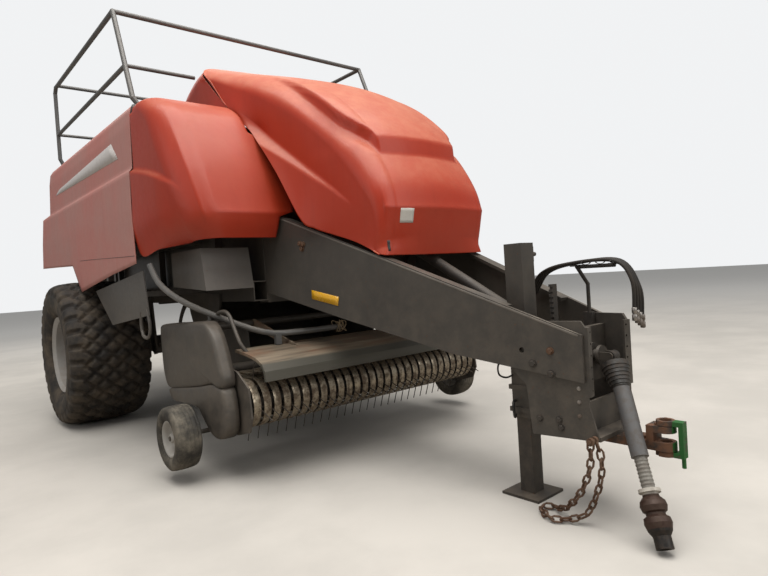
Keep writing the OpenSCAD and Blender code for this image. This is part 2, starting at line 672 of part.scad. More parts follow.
module gauge_wheel() {
  r = gauge_d / 2;
  color(rubber) translate([gauge_x, gauge_y, gauge_z]) rotate([0, 90, 0]) rotate_extrude() polygon([
    [15.05, 0], [60, 0], [60, 60], [110, 60], [r - 40, 0], [r - 12, 10], [r, 40], [r, gauge_w - 40],
    [r - 12, gauge_w - 10], [r - 40, gauge_w], [110, gauge_w - 60], [60, gauge_w - 60], [60, gauge_w - 20],
    [15.05, gauge_w - 20]]);
}
module gauge_wheel_left() {
  gauge_wheel();
}
module gauge_wheel_right() {
  mirror([1, 0, 0]) gauge_wheel();
}

// Rings of the moulded covers: a ridge point, a shoulder arc and an edge point at each station
arc_steps = 5;
function half_ring(st, crown) =
  let (top = [st[0], st[1]], w = st[2], r = st[3], edge = [st[4], st[5]], we = st[6], x0 = st[7],
       down = unit(edge - top), flat = w - r)
  concat(
    [for (k = [0 : 3]) let (x = lerp(x0, flat, k / 4), p = top + down * crown * pow(x / flat, 2))
      [x, p[0], p[1]]],
    [for (k = [0 : arc_steps]) let (a = 90 * k / arc_steps,
        p = top + down * (crown + r * (1 - cos(a)))) [flat + r * sin(a), p[0], p[1]]],
    [[lerp(w, we, 0.6), lerp(top[0] + down[0] * (crown + r), edge[0], 0.6),
      lerp(top[1] + down[1] * (crown + r), edge[1], 0.6)],
     [we, edge[0], edge[1]]]);
function mirrored(ring) = [for (k = [1 : len(ring) - 1]) [-ring[k][0], ring[k][1], ring[k][2]]];
function reversed(L) = [for (k = [len(L) - 1 : -1 : 0]) L[k]];

// Hood stations: ridge y, ridge z, half width, shoulder radius, edge y, edge z, edge half width, inner x
hood_rows = [
  [-2275, 1338, 448, 75, -2222, 1352, 452, 0],
  [-2325, 1640, 462, 105, -2050, 1436, 480, 0],
  [-2262, 1862, 488, 140, -1870, 1500, 520, 0],
  [-2008, 2190, 520, 175, -1740, 1550, 562, 0],
  [-1600, 2512, 570, 208, -1640, 1620, 600, 0],
  [-1120, 2755, 620, 230, -1440, 1960, 640, 0],
  [-700, 2898, 650, 240, -1200, 2250, 660, 0],
  [-430, 3000, 660, 250, -900, 2500, 665, 0],
  [-300, 3040, 660, 250, -640, 2780, 665, 0]];
hood_crown = 40;
hood_hinge = [0, -293, 3053];
hood_pin_r = 8;
hood_knuckle_r = 12;
hood_steps = 20;
module hood() {
  rings = [for (st = smooth(hood_rows, hood_steps)) half_ring(st, hood_crown)];
  color(paint) sheet([for (r = rings) concat(reversed(r), mirrored(r))], skin);
  color(dark_steel) both_sides() difference() {
    union() {
      translate(hood_hinge + [60, 0, 0]) rotate([0, 90, 0]) cylinder(r = hood_knuckle_r, h = 40);
      block([60, -345, 3020], [100, hood_hinge[1], 3053]);
    }
    translate(hood_hinge + [59, 0, 0]) rotate([0, 90, 0]) cylinder(r = hood_pin_r + 0.05, h = 42);
    block([59, hood_hinge[1] - 8, 3000], [101, hood_hinge[1] + 20, 3041]);
  }
}

// Front shield stations, in the same columns
shield_rows = [
  [-1360, 1530, 1130, 150, -1150, 1520, 1120, 620],
  [-1400, 1690, 1200, 170, -900, 1500, 1230, 606],
  [-1330, 1950, 1250, 190, -612, 1490, 1275, 470],
  [-1215, 2200, 1275, 200, -612, 1900, 1280, 650],
  [-1080, 2400, 1280, 180, -612, 2250, 1280, 682],
  [-900, 2515, 1280, 150, -612, 2400, 1280, 684],
  [-760, 2545, 1270, 100, -612, 2440, 1280, 684],
  [-612, 2545, 1262, 80, -612.5, 2460, 1280, 684]];
shield_steps = 14;
module front_shield() {
  rings = [for (st = smooth(shield_rows, shield_steps)) half_ring(st, 4)];
  color(paint) mirror([1, 0, 0]) sheet(rings, skin);
  color(dark_steel) mirror([1, 0, 0]) {
    block([1125, -650, deck_z + seat], [1175, -616, 2546]);
    side_plate([[-1100, 1480 + seat], [-1040, 1480 + seat], [-1040, 1525], [-1100, 1530]], 1000, 1066);
    side_plate([[-1100, 1514], [-1040, 1510], [-1040, 1525], [-1100, 1530]], 1065, 1190);
  }
}
module front_shield_left() {
  mirror([1, 0, 0]) front_shield();
}
module front_shield_right() {
  front_shield();
}

// Fixed shield behind the hood
top_rows = [
  [-286, 3038, 660, 250, -878, 2512, 665, 0],
  [-150, 3020, 660, 250, -620, 2556, 665, 0],
  [0, 2965, 660, 240, -300, 2556, 665, 0],
  [100, 2870, 660, 200, 0, 2556, 665, 0],
  [150, 2740, 660, 150, 130, 2556, 665, 0]];
module top_shield() {
  rings = [for (st = smooth(top_rows, 8)) half_ring(st, 40)];
  color(paint) sheet([for (r = rings) concat(reversed(r), mirrored(r))], skin);
  color(dark_steel) both_sides() {
    translate(hood_hinge + [100.5, 0, 0]) rotate([0, 90, 0]) cylinder(r = hood_knuckle_r, h = 40);
    translate(hood_hinge + [55, 0, 0]) rotate([0, 90, 0]) cylinder(r = hood_pin_r, h = 60);
    block([100.5, hood_hinge[1], 3041], [140.5, -240, 3052]);
    block([100.5, -284, 3022], [140.5, -240, 3045]);
    block([640, -538, deck_z + seat], [664, -500, 2600]);
  }
}

// Gull side panel: height profile rows of x, z and the ends of the row; the last row is the arched bottom
panel_low = [[-598, 1420], [0, 1365], [600, 1295], [960, 1252], [1050, 1325], [1230, 1500], [1800, 1520],
             [2600, 1545]];
panel_rows = [
  [panel_x - 36, panel_top, 2070], [panel_x - 12, panel_top - 40, 2080], [panel_x, panel_top - 140, 2095],
  [panel_x + 4, 2200, 2120], [panel_x + 6, 2092, 2140], [panel_x + 28, 2064, 2400], [panel_x + 32, 1800, 2500]];
hinge_x = panel_x - 46;
hinge_z = panel_top - 15;
hinge_pin_r = 8;
hinge_ys = [-350, 800, 1700];
module side_panel() {
  across = [for (p = panel_low) (p[0] + 598) / (2600 + 598)];
  rows = concat(
    [for (r = panel_rows) [for (t = across) [r[0], lerp(-598, r[2], t), r[1]]]],
    [[for (p = panel_low) [panel_x + 26, p[0], p[1]]]]);
  color(paint) sheet(rows, skin);
  color(dark_steel) for (y = hinge_ys) difference() {
    translate([hinge_x, y + 60, hinge_z]) rotate([90, 0, 0]) cylinder(r = 14, h = 60);
    translate([hinge_x, y + 61, hinge_z]) rotate([90, 0, 0]) cylinder(r = hinge_pin_r + 0.05, h = 62);
  }
}
module side_panel_left() {
  side_panel();
}
module side_panel_right() {
  mirror([1, 0, 0]) side_panel();
}

module front_boxes() {
  color(frame_grey) both_sides() {
    side_plate([[-1200, 1200], [-1150, 1480], [-640, 1480], [-640, 1240]], beam_x + seat, 1070);
  }
}
module lower_skirts() {
  color(frame_grey) both_sides() {
    side_plate([[-600, 1050], [300, 960], [740, 1250], [-540, 1370]], 1236, 1244);
    for (y = [-450, 350]) block([beam_x + seat, y, 1180], [1237, y + 40, 1220]);
    // Hoop under the skirt
    swept(smooth([[1240, -560, 1090], [1240, -595, 1000], [1240, -585, 920], [1240, -520, 885], [1240, -440, 900],
                  [1240, -410, 980], [1240, -425, 1070]], 12), 12, 8);
  }
}

// Upper frame under the platform, which carries the panels' hinges and the handrail
deck_z = 2500;
deck_rear = 2050;

module upper_frame() {
  low = deck_z - 50;
  color(frame_grey) {
    both_sides() {
      block([1120, -650, deck_z - 60], [1180, 2045, deck_z]);
      for (y = post_ys) block([cham_x + 15, y, beam_top + seat], [cham_x + 70, y + 50, deck_z]);
      for (y = post_ys) block([cham_x + 69, y, low], [1121, y + 50, deck_z]);
      for (y = hinge_ys) {
        block([1179, y - 14, hinge_z - 30], [hinge_x + 5, y - 2, hinge_z + 5]);
        translate([hinge_x, y + 62, hinge_z]) rotate([90, 0, 0]) cylinder(r = hinge_pin_r, h = 70);
      }
    }
    for (y = post_ys) block([-cham_x - 16, y, low], [cham_x + 16, y + 50, deck_z]);
  }
}
post_ys = [-540, 700, 1980];
module platform() {
  color(dark_steel) {
    block([-1175, 180, deck_z + seat], [1175, deck_rear, deck_z + deck_t]);
    for (y = [200 : 150 : deck_rear - 100])
      block([-1100, y, deck_z + deck_t - 1], [1100, y + 40, deck_z + deck_t + 4]);
  }
}
deck_t = 30;
module handrail() {
  r = rail_d / 2;
  mid = 2900;
  mid_y = lerp(-460, -150, (mid - 2630) / (rail_top - 2630));
  front_foot = deck_z + seat;
  rear_foot = deck_z + deck_t + seat;
  color(frame_grey) {
    both_sides() {
      rod([[rail_x - 45, -480, front_foot + 2], [rail_x - 45, -480, 2560], [rail_x, -460, 2630],
           [rail_x, -150, rail_top],
           [rail_x, 1855, rail_top], [rail_x, 1903, rail_top - 48], [rail_x, 1903, 2650],
           [rail_x - 50, 1903, rear_foot + 9]], r);
      rod([[rail_x, mid_y, mid], [rail_x, 1903, mid]], r - 2);
      rod([[rail_x, mid_y, mid], [672, mid_y, mid]], r - 4);
      translate([rail_x - 45, -480, front_foot]) cylinder(r = 34, h = 8);
      translate([rail_x - 50, 1903, rear_foot]) cylinder(r = 34, h = 18);
    }
    rod([[-rail_x, -150, rail_top], [rail_x, -150, rail_top]], r - 0.5);
    rod([[-rail_x, 1903, mid], [rail_x, 1903, mid]], r - 4);
    rod([[-rail_x, 1790, rail_top], [rail_x, 1790, rail_top]], r - 2);
  }
}

knot_y = 980;
module knotters() {
  color(dark_steel) {
    translate([-560, knot_y, cham_top + 160]) rotate([0, 90, 0]) cylinder(r = 30, h = 1120);
    for (k = [0 : 5]) translate([-500 + 200 * k, knot_y, cham_top + 160]) rotate([0, 90, 0])
      cylinder(r = 130, h = 40, center = true);
    both_sides() block([560, knot_y - 100, cham_top + 0.3], [590, knot_y + 100, cham_top + 260]);
  }
}
module density_rams() {
  color(dark_steel) {
    block([-cham_x - 60, 2500, cham_top + 0.3], [cham_x + 60, 2600, cham_top + 90]);
    block([-cham_x - 60, 3100, cham_top + 0.3], [cham_x + 60, 3200, cham_top + 90]);
    for (x = [-350, 350]) bar([x, 2600, cham_top + 60], [x, 3100, cham_top + 60], 45);
  }
}
module needle_frame() {
  x0 = beam_x + seat;
  tube = [835, 665];
  color(frame_grey) {
    both_sides() side_plate([[850, 1225], [950, 1225], [930, 1100], [888, 640], [850, 612], [800, 620], [780, 660],
                             [830, 1100]], x0, x0 + 18);
    translate([-x0 - 1, tube[0], tube[1]]) rotate([0, 90, 0]) cylinder(r = 45, h = 2 * x0 + 2);
    // Curved needles, each an arc of a flat bar from the tube up to the chamber floor
    for (k = [0 : 5]) translate([-500 + 200 * k, tube[0] - needle_r, tube[1]]) rotate([90, 0, 90])
      rotate_extrude(angle = 64) translate([needle_r, 0]) square([46, 14], center = true);
  }
}
needle_r = 470;
module packer_duct() {
  outer = smooth([[-900, 400], [-500, 430], [-100, 620], [180, 900], [290, cham_low - seat]], 12);
  inner = smooth([[-900, 410], [-504, 442], [-110, 630], [168, 906], [278, cham_low - seat]], 12);
  roof = smooth([[-820, 900], [-560, 960], [-360, 1050], [-300, cham_low - seat]], 8);
  color(frame_grey) {
    side_plate(concat(outer, reversed(inner)), -600, 600);
    both_sides() side_plate(concat(outer, reversed(roof)), 600.5, 608);
  }
}

module twine_rack() {
  x0 = cham_x + 70 + seat;
  x1 = 1200;
  low = 1580;
  high = 2380;
  front = -300;
  pitch = 376;
  row_h = 398;
  color(frame_grey) {
    difference() {
      block([x0, front, low], [x1, 1960, high]);
      for (k = [0 : 5]) for (row = [0, 1])
        block([x0 + 6, front + 8 + pitch * k, low + 8 + row_h * row],
              [x1 + 1, front + pitch * (k + 1), low + row_h * (row + 1) - 8]);
    }
    // Balls of twine standing in the rack
    for (k = [0 : 5]) for (row = [0, 1])
      translate([x0 + 240, front + 4 + pitch * (k + 0.5), low + 7 + row_h * row]) cylinder(r = 165, h = 330);
  }
}
module twine_rack_left() {
  twine_rack();
}
module twine_rack_right() {
  mirror([1, 0, 0]) twine_rack();
}
module rear_lights() {
  y = rib_ys[2] + 10;
  color("#a01818") both_sides() {
    block([cham_x + rib_x + seat, y, 1680], [1240, y + 30, 1720]);
    block([1000, y + 29, 1650], [1240, y + 70, 1750]);
  }
}
module ladder() {
  x0 = 760;
  x1 = 1120;
  back = deck_rear + 17 + seat;
  color(frame_grey) {
    for (x = [x0, x1]) rod([[x, 2215, 700], [x, back + 2, 2430], [x, back, 2545]], 17);
    for (k = [0 : 5]) rod([[x0, 2209 - 26 * k, 780 + 300 * k], [x1, 2209 - 26 * k, 780 + 300 * k]], 15);
    rod([[beam_x + seat, 2175, 1180], [x1, 2175, 1180]], 13);
  }
}
lift_route = [[-1280, -800, 1400], [-1255, -900, 1260], [-1160, -1050, 1133], [-930, -1200, 990],
              [-730, -1350, 895], [-533, -1420, 882], [-184, -1430, 881]];
module lift_pipe() {
  color(frame_grey) {
    swept(smooth(lift_route, 20), 20, 12);
    rod([[-end_x - 6, -1090, 765], [-end_x - 6, -1132, 1052]], 11);
    block([-end_x - 14, -1110, 760 + seat], [-end_x + 2, -1060, 800]);
    block([-700, -1410, 812], [-660, -1380, 880]);
  }
}
arm_top = 1204;
module hose_arm() {
  wall_in = bar_x(line_low_y - 25) - 1.02 * (hitch_wall + seat) - seat;
  x = wall_in - 14;
  top = arm_top + 11.5;
  color(dark_steel) {
    rod([[x, line_low_y, 880], [x, line_low_y, 1110], [130, line_low_y + 10, arm_top],
         [125, bar_tip_y - 2, arm_top]], 10);
    block([x - 20, line_low_y - 25, 860], [wall_in, line_low_y + 25, 960]);
    block([85, line_low_y - 5, arm_top + 3], [190, line_low_y + 25, top]);
    block([85, bar_tip_y - 8, arm_top + 3], [190, bar_tip_y + 15, top]);
  }
}
// Hoses: places along the run; each next hose lies this much further to the side
hose_count = 4;
hose_r = 9;
hose_run = [[400, -1190, 1135], [395, -1500, 1110], [360, -2000, 1010], [290, -2450, 985], [200, -2750, 1040],
            [130, -2920, 1180], [100, -3120, 1225.3], [98, -3360, 1225.3], [96, -3445, 1130], [98, -3450, 990]];
hose_step = [22, 22, 22, 22, 22, 22, 22, 22, 27, 27];
module hoses() {
  color(rubber) for (k = [0 : hose_count - 1]) {
    route = [for (i = [0 : len(hose_run) - 1]) hose_run[i] + [hose_step[i] * k, 0, i > 7 ? -14 * k : 0]];
    swept(smooth(route, 27), hose_r, 8);
    bar(route[9] + [0, 0, 2], route[9] - [0, 0, 62], 12.5);
  }
}

// Safety chain: links of round wire along its hanging route, every other one turned by a quarter
link_wire = 11;
link_in = 42;
link_w = 38;
chain_route = [for (p = [[-258, -35, 392], [-258, -26, 294], [-256, 14, 190], [-246, 70, 112], [-215, 145, 45],
                         [-180, 230, 20], [-212, 272, 20], [-268, 232, 20], [-300, 155, 20], [-262, 88, 24],
                         [-236, 15, 62], [-228, -35, 162], [-224, -62, 261], [-222, -62, 340], [-222, -48, 388]])
               p + [0, bar_tip_y, 0]];
chain_fine = smooth(chain_route, 160);
chain_cum = [for (k = 0, l = 0; k < len(chain_fine);
  l = l + (k + 1 < len(chain_fine) ? norm(chain_fine[k + 1] - chain_fine[k]) : 0), k = k + 1) l];
function chain_place(at) =
  let (i = [for (k = [0 : len(chain_cum) - 2]) if (chain_cum[k] <= at && at < chain_cum[k + 1]) k][0],
       a = chain_fine[i], b = chain_fine[i + 1])
  [lerp(a, b, (at - chain_cum[i]) / (chain_cum[i + 1] - chain_cum[i])), unit(b - a)];
module link() {
  half = (link_in - link_w + 2 * link_wire) / 2;
  r = (link_w - link_wire) / 2;
  loop = concat([for (a = [-90 : 60 : 90]) [half + r * cos(a), r * sin(a), cos(a), sin(a)]],
                [for (a = [90 : 60 : 270]) [-half + r * cos(a), r * sin(a), cos(a), sin(a)]]);
  wire_ring(loop, link_wire / 2, 5);
}
module safety_chain() {
  pin_y = bar_tip_y - 36;
  step = link_in - 1;
  count = floor(chain_cum[len(chain_cum) - 1] / step) + 1;
  color(worn_steel) {
    for (k = [0 : count - 1]) {
      place = chain_place(k * step);
      d = place[1];
      translate(place[0]) rotate([0, acos(d[2]), atan2(d[1], d[0])]) rotate([0, -90, 0])
        rotate([k % 2 == 0 ? 45 : -45, 0, 0]) link();
    }
    // Pin on the bulkhead that carries both ends
    translate([-276, pin_y, 410]) rotate([0, 90, 0]) cylinder(r = 9, h = 276 - bar_x(pin_y + 9) - seat);
    for (x = [-258, -224]) translate([x - 8, pin_y, 410]) rotate([0, 90, 0]) cylinder(r = 18, h = 16);
  }
}

// Bale chute, folded upright behind the chamber
chute_y = 3650;
chute_pin_r = 20;
chute_z = 1150;
chute_len = 1050;
module bale_chute() {
  color(frame_grey) {
    both_sides() difference() {
      block([560, chute_y - 40, chute_z - 40], [600, chute_y + 60, chute_z + chute_len]);
      block([559, chute_y - 28, chute_z + 60], [594, chute_y + 48, chute_z + chute_len - 10]);
    }
    for (k = [0 : 4]) translate([0, chute_y + 10, chute_z + 100 + 220 * k]) rotate([0, 90, 0]) {
      cylinder(r = 38, h = 1110, center = true);
      cylinder(r = 12, h = 1192, center = true);
    }
    both_sides() translate([561, chute_y, chute_z]) rotate([0, 90, 0]) cylinder(r = chute_pin_r - 0.05, h = 58);
  }
}

// Power shaft, hanging from the input fork with its yoke just above the ground
// Measures along the shaft from its swing pin
shaft_dir = unit([-335, -360, -733]);
bell_s = 45;
bell_ribs = 6;
tube_s = 500;
collar_s = 640;
yoke_s = 830;
shaft_end = 880;
yoke_bore_r = 17.45;
yoke_bore_len = 75;
module along_shaft() {
  translate([input_x, swing_y, input_z]) rotate([0, acos(shaft_dir[2]), atan2(shaft_dir[1], shaft_dir[0])])
    children();
}
module pto_shaft() {
  bell = [for (k = [0 : bell_ribs - 1]) let (r = 66 - 4 * k, s = bell_s + 15 + 18 * k)
    each [[r, s], [r, s + 9], [r - 4, s + 11], [r - 4, s + 16]]];
  rings = [for (k = [0 : 6]) let (s = tube_s + 12 + 17 * k)
    each [[27, s], [29, s + 4], [29, s + 8], [27, s + 12]]];
  color(dark_steel) difference() {
    union() {
      translate([input_x - joint_ball, swing_y, input_z]) rotate([0, 90, 0])
        cylinder(r = 26, h = 2 * joint_ball);
      along_shaft() rotate_extrude() polygon(concat(
        [[0, 17], [12, 17], [12, 62], [30, 62], [30, 145], [37, 150], [60, bell_s + 28], [62, bell_s], [66, bell_s]],
        bell, [[38, 172], [38, tube_s], [27, tube_s]], rings,
        [[27, collar_s], [46, collar_s], [46, collar_s + 15], [34, collar_s + 15], [34, collar_s + 30],
         [52, collar_s + 50], [56, collar_s + 70], [50, collar_s + 92], [40, collar_s + 98], [40, collar_s + 108],
         [54, collar_s + 118], [57, collar_s + 140], [48, yoke_s - 18], [36, yoke_s], [36, shaft_end],
         [yoke_bore_r, shaft_end], [yoke_bore_r, shaft_end - yoke_bore_len], [0, shaft_end - yoke_bore_len]]));
    }
    translate([input_x - 40, swing_y, input_z]) rotate([0, 90, 0]) cylinder(r = swing_pin_r + 0.05, h = 80);
  }
}

chamber();
main_frame();
axle();
tongue_right();
tongue_left();
hitch_box();
hitch_clevis();
jack_tube();
gearbox();
packer_duct();
needle_frame();
front_shield_right();
front_shield_left();
top_shield();
front_boxes();
lower_skirts();
upper_frame();
platform();
handrail();
knotters();
density_rams();
twine_rack_right();
twine_rack_left();
rear_lights();
ladder();
lift_pipe();
hose_arm();
hoses();
safety_chain();
tyre_right();
tyre_left();
rim_right();
rim_left();
pickup_frame();
pickup_bands();
pickup_shields();
windguard();
pickup_reel();
gauge_wheel_right();
gauge_wheel_left();
hood();
side_panel_right();
side_panel_left();
bale_chute();
jack_leg();
pto_shaft();
flywheel();
driveline();
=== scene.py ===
"""Large square baler, parked on its jack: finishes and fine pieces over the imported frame.
Metres; X across (the side that is seen is -X), -Y towards the drawbar, Z up from the ground."""
import bmesh
import bpy
import numpy as np
from mathutils import Matrix


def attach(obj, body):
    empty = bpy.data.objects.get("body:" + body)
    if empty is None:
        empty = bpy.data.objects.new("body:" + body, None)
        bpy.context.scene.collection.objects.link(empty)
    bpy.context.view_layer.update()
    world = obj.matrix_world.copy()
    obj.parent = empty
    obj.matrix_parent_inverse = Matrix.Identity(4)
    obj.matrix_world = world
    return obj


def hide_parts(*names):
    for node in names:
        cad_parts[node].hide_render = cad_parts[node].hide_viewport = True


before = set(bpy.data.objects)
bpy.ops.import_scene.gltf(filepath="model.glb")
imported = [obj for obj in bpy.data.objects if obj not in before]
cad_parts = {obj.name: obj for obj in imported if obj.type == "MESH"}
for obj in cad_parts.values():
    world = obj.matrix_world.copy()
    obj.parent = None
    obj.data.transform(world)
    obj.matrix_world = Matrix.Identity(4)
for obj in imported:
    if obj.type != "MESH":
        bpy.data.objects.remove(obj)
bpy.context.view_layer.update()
scene = bpy.context.scene
tau = 2 * np.pi
SIDES = ((-1, "right"), (1, "left"))


def unit(v):
    """The vector at length 1."""
    v = np.asarray(v, float)
    return v / np.linalg.norm(v)


# Camera
SENSOR, FOCAL_PIXELS, PICTURE_PIXELS = 36.0, 569.697, 768
EYE = (-2.608, -4.75, 1.224)


def photo_camera():
    """The photograph's eye: a point 1.22 m up beside the drawbar, turned 40.7 degrees to the machine and
    rolled 3.7 degrees."""
    yaw, pitch, roll = np.radians([40.742, 1.238, 3.686])
    ahead = np.array([np.sin(yaw) * np.cos(pitch), np.cos(yaw) * np.cos(pitch), -np.sin(pitch)])
    level = np.array([np.cos(yaw), -np.sin(yaw), 0.0])
    above = np.cross(level, ahead)
    right = np.cos(roll) * level - np.sin(roll) * above
    up = np.sin(roll) * level + np.cos(roll) * above
    data = bpy.data.cameras.new("photo_camera")
    data.sensor_width, data.lens = SENSOR, SENSOR * FOCAL_PIXELS / PICTURE_PIXELS
    data.clip_end = 200
    camera = bpy.data.objects.new("photo_camera", data)
    turn = Matrix(np.column_stack([right, up, -ahead]).tolist()).to_4x4()
    camera.matrix_world = Matrix.Translation(EYE) @ turn
    scene.collection.objects.link(camera)
    scene.camera = camera


photo_camera()


# Finishes
class Value:
    """A number in a finish. Its sums, differences and products with another Value or a number add Math
    nodes."""

    def __init__(self, finish, socket):
        self.finish, self.socket = finish, socket

    def combine(self, operation, first, second):
        return self.finish.number("ShaderNodeMath", {"operation": operation}, {0: first, 1: second})

    def __add__(self, other):
        return self.combine("ADD", self, other)

    def __radd__(self, other):
        return self.combine("ADD", other, self)

    def __sub__(self, other):
        return self.combine("SUBTRACT", self, other)

    def __rsub__(self, other):
        return self.combine("SUBTRACT", other, self)

    def __mul__(self, other):
        return self.combine("MULTIPLY", self, other)

    def least(self, other):
        return self.combine("MINIMUM", self, other)


class Finish:
    """A material: node() adds one node with its settings and its inputs, given as sockets, Values or
    numbers."""

    def __init__(self, name, **fixed):
        self.material = bpy.data.materials.new(name)
        self.material.use_nodes = True
        self.tree = self.material.node_tree
        self.surface = self.tree.nodes["Principled BSDF"]
        for key, amount in fixed.items():
            self.surface.inputs[key.replace("_", " ")].default_value = amount
        self.place = self.node("ShaderNodeTexCoord").outputs["Object"]

    def node(self, kind, settings=None, inputs=None):
        node = self.tree.nodes.new(kind)
        for key, choice in (settings or {}).items():
            setattr(node, key, choice)
        for key, given in (inputs or {}).items():
            given = given.socket if isinstance(given, Value) else given
            if isinstance(given, bpy.types.NodeSocket):
                self.tree.links.new(given, node.inputs[key])
            else:
                node.inputs[key].default_value = given
        return node

    def number(self, kind, settings=None, inputs=None, out=0):
        return Value(self, self.node(kind, settings, inputs).outputs[out])

    def to(self, name, given):
        """Feeds one of the surface's inputs."""
        given = given.socket if isinstance(given, Value) else given
        self.tree.links.new(given, self.surface.inputs[name])

    def axis(self, which):
        """The place along X, Y or Z in metres."""
        return self.number("ShaderNodeSeparateXYZ", {}, {0: self.place}, "XYZ".index(which))

    def stretched(self, x, y, z):
        """The place with each axis multiplied, for streaks and grain."""
        return self.node("ShaderNodeMapping", {}, {"Vector": self.place, "Scale": (x, y, z)}).outputs[0]

    def noise(self, scale, detail=4, rough=0.6, at=None):
        return self.number("ShaderNodeTexNoise", {}, {"Vector": self.place if at is None else at,
                           "Scale": scale, "Detail": detail, "Roughness": rough})

    def between(self, value, low, high, a=0.0, b=1.0):
        """value taken from low..high to a..b, and held there outside."""
        return self.number("ShaderNodeMapRange", {"interpolation_type": "SMOOTHSTEP"},
                           {0: value, 1: low, 2: high, 3: a, 4: b})

    def mix(self, amount, first, second):
        """Two colours, by amount."""
        node = self.node("ShaderNodeMix", {"data_type": "RGBA"}, {0: amount})
        for slot, given in ((6, first), (7, second)):
            if isinstance(given, bpy.types.NodeSocket):
                self.tree.links.new(given, node.inputs[slot])
            else:
                node.inputs[slot].default_value = (*given, 1)
        return node.outputs[2]

    def bump(self, height, strength=0.3, distance=0.002):
        inputs = {"Height": height, "Strength": strength, "Distance": distance}
        node = self.node("ShaderNodeBump", {}, inputs)
        self.to("Normal", node.outputs[0])

    def facing_up(self):
        """1 where the surface faces the sky."""
        normal = self.node("ShaderNodeNewGeometry").outputs["Normal"]
        return self.number("ShaderNodeSeparateXYZ", {}, {0: normal}, 2)


RUST = (0.12, 0.05, 0.02)


def weathered(name, colour, faded, dust, rough, dusty, coat, low, high, grain, spots=0.0, top_fade_and_light=0.3):
    """Paint that varies from colour to faded in broad patches, with dust that thins out from the height
    low to the height high, chips down to rust, and a lighter film on what faces the sky, which is part sun
    bleaching and part painted light from the sky."""
    f = Finish(name, Coat_Weight=coat, Coat_Roughness=0.15)
    patches = f.between(f.noise(1.3, 5, 0.6), 0.35, 0.7)
    base = f.mix(patches, colour, faded)
    streak = f.between(f.noise(3.0, 6, 0.65, f.stretched(6, 6, 0.7)), 0.45, 0.75)
    base = f.mix(streak * 0.25, base, tuple(0.75 * c for c in colour))
    near_ground = f.between(f.axis("Z"), low, high, 1.0, 0.15)
    settled = f.between(f.noise(9, 8, 0.7), 0.35, 0.7)
    # Painted light: what faces the sky is lightened towards the dust colour, partly for sun fading and
    # partly as painted light from the sky.
    sky = f.between(f.facing_up(), 0.1, 1.0) * (settled * 0.4 + 0.6)
    amount = (near_ground * settled * dusty + sky * top_fade_and_light).least(1.0)
    base = f.mix(amount, base, dust)
    if spots:
        chips = f.between(f.noise(60, 3, 0.5), 0.69 - 0.03 * spots, 0.72 - 0.03 * spots)
        base = f.mix(chips * spots, base, RUST)
    f.to("Base Color", base)
    f.to("Roughness", amount * 0.4 + f.noise(25, 4) * 0.2 + (rough - 0.1))
    f.bump(f.noise(180, 3) * 0.3 + f.noise(14, 5), grain, 0.0015)
    return f.material


red = weathered("red_paint", (0.43, 0.028, 0.007), (0.41, 0.035, 0.010), (0.60, 0.23, 0.115),
                rough=0.42, dusty=0.04, coat=0.1, low=0.9, high=2.2, grain=0.04, top_fade_and_light=0.36)
# The hood's paint lightens its sky-facing top more than the rest does: partly sun fading, partly painted
# light from the sky.
hood_red = weathered("hood_paint", (0.45, 0.031, 0.007), (0.43, 0.038, 0.011), (0.68, 0.31, 0.185),
                     rough=0.42, dusty=0.04, coat=0.1, low=0.9, high=2.2, grain=0.04, top_fade_and_light=0.62)
pale_red = weathered("faded_red_paint", (0.53, 0.195, 0.17), (0.48, 0.235, 0.21), (0.56, 0.36, 0.32),
                     rough=0.5, dusty=0.3, coat=0.05, low=1.2, high=2.4, grain=0.05)
grey = weathered("charcoal_paint", (0.052, 0.047, 0.042), (0.075, 0.067, 0.058), (0.17, 0.14, 0.11),
                 rough=0.42, dusty=0.45, coat=0.1, low=0.2, high=1.6, grain=0.08, spots=0.4)
# Painted light: a lighter copy of the charcoal paint, for the front boxes and lower skirts, which sit in
# the front covers' shade.
lit_charcoal = weathered("lit_charcoal_paint", (0.090, 0.084, 0.078), (0.115, 0.105, 0.095), (0.20, 0.17, 0.14),
                       rough=0.42, dusty=0.45, coat=0.1, low=0.2, high=1.6, grain=0.08, spots=0.3)
steel = weathered("dark_steel", (0.030, 0.027, 0.025), (0.05, 0.043, 0.038), (0.16, 0.13, 0.10),
                  rough=0.5, dusty=0.4, coat=0.0, low=0.1, high=1.5, grain=0.2, spots=0.6)
rim_grey = weathered("rim_paint", (0.42, 0.41, 0.40), (0.34, 0.33, 0.32), (0.30, 0.25, 0.20),
                     rough=0.45, dusty=0.5, coat=0.0, low=0.2, high=1.4, grain=0.08, spots=0.3)
pipe = weathered("pipe_paint", (0.095, 0.097, 0.10), (0.125, 0.122, 0.118), (0.25, 0.22, 0.18),
                 rough=0.35, dusty=0.4, coat=0.2, low=0.2, high=1.6, grain=0.06, spots=0.3, top_fade_and_light=0.35)
wheel_steel = weathered("wheel_paint", (0.46, 0.45, 0.43), (0.36, 0.35, 0.33), (0.30, 0.25, 0.20),
                        rough=0.4, dusty=0.4, coat=0.0, low=0.1, high=1.0, grain=0.06, spots=0.4)
edge_paint = weathered("worn_edge", (0.13, 0.12, 0.11), (0.19, 0.17, 0.15), (0.36, 0.31, 0.26),
                       rough=0.4, dusty=0.5, coat=0.1, low=0.2, high=1.6, grain=0.08, spots=0.4,
                       top_fade_and_light=0.6)


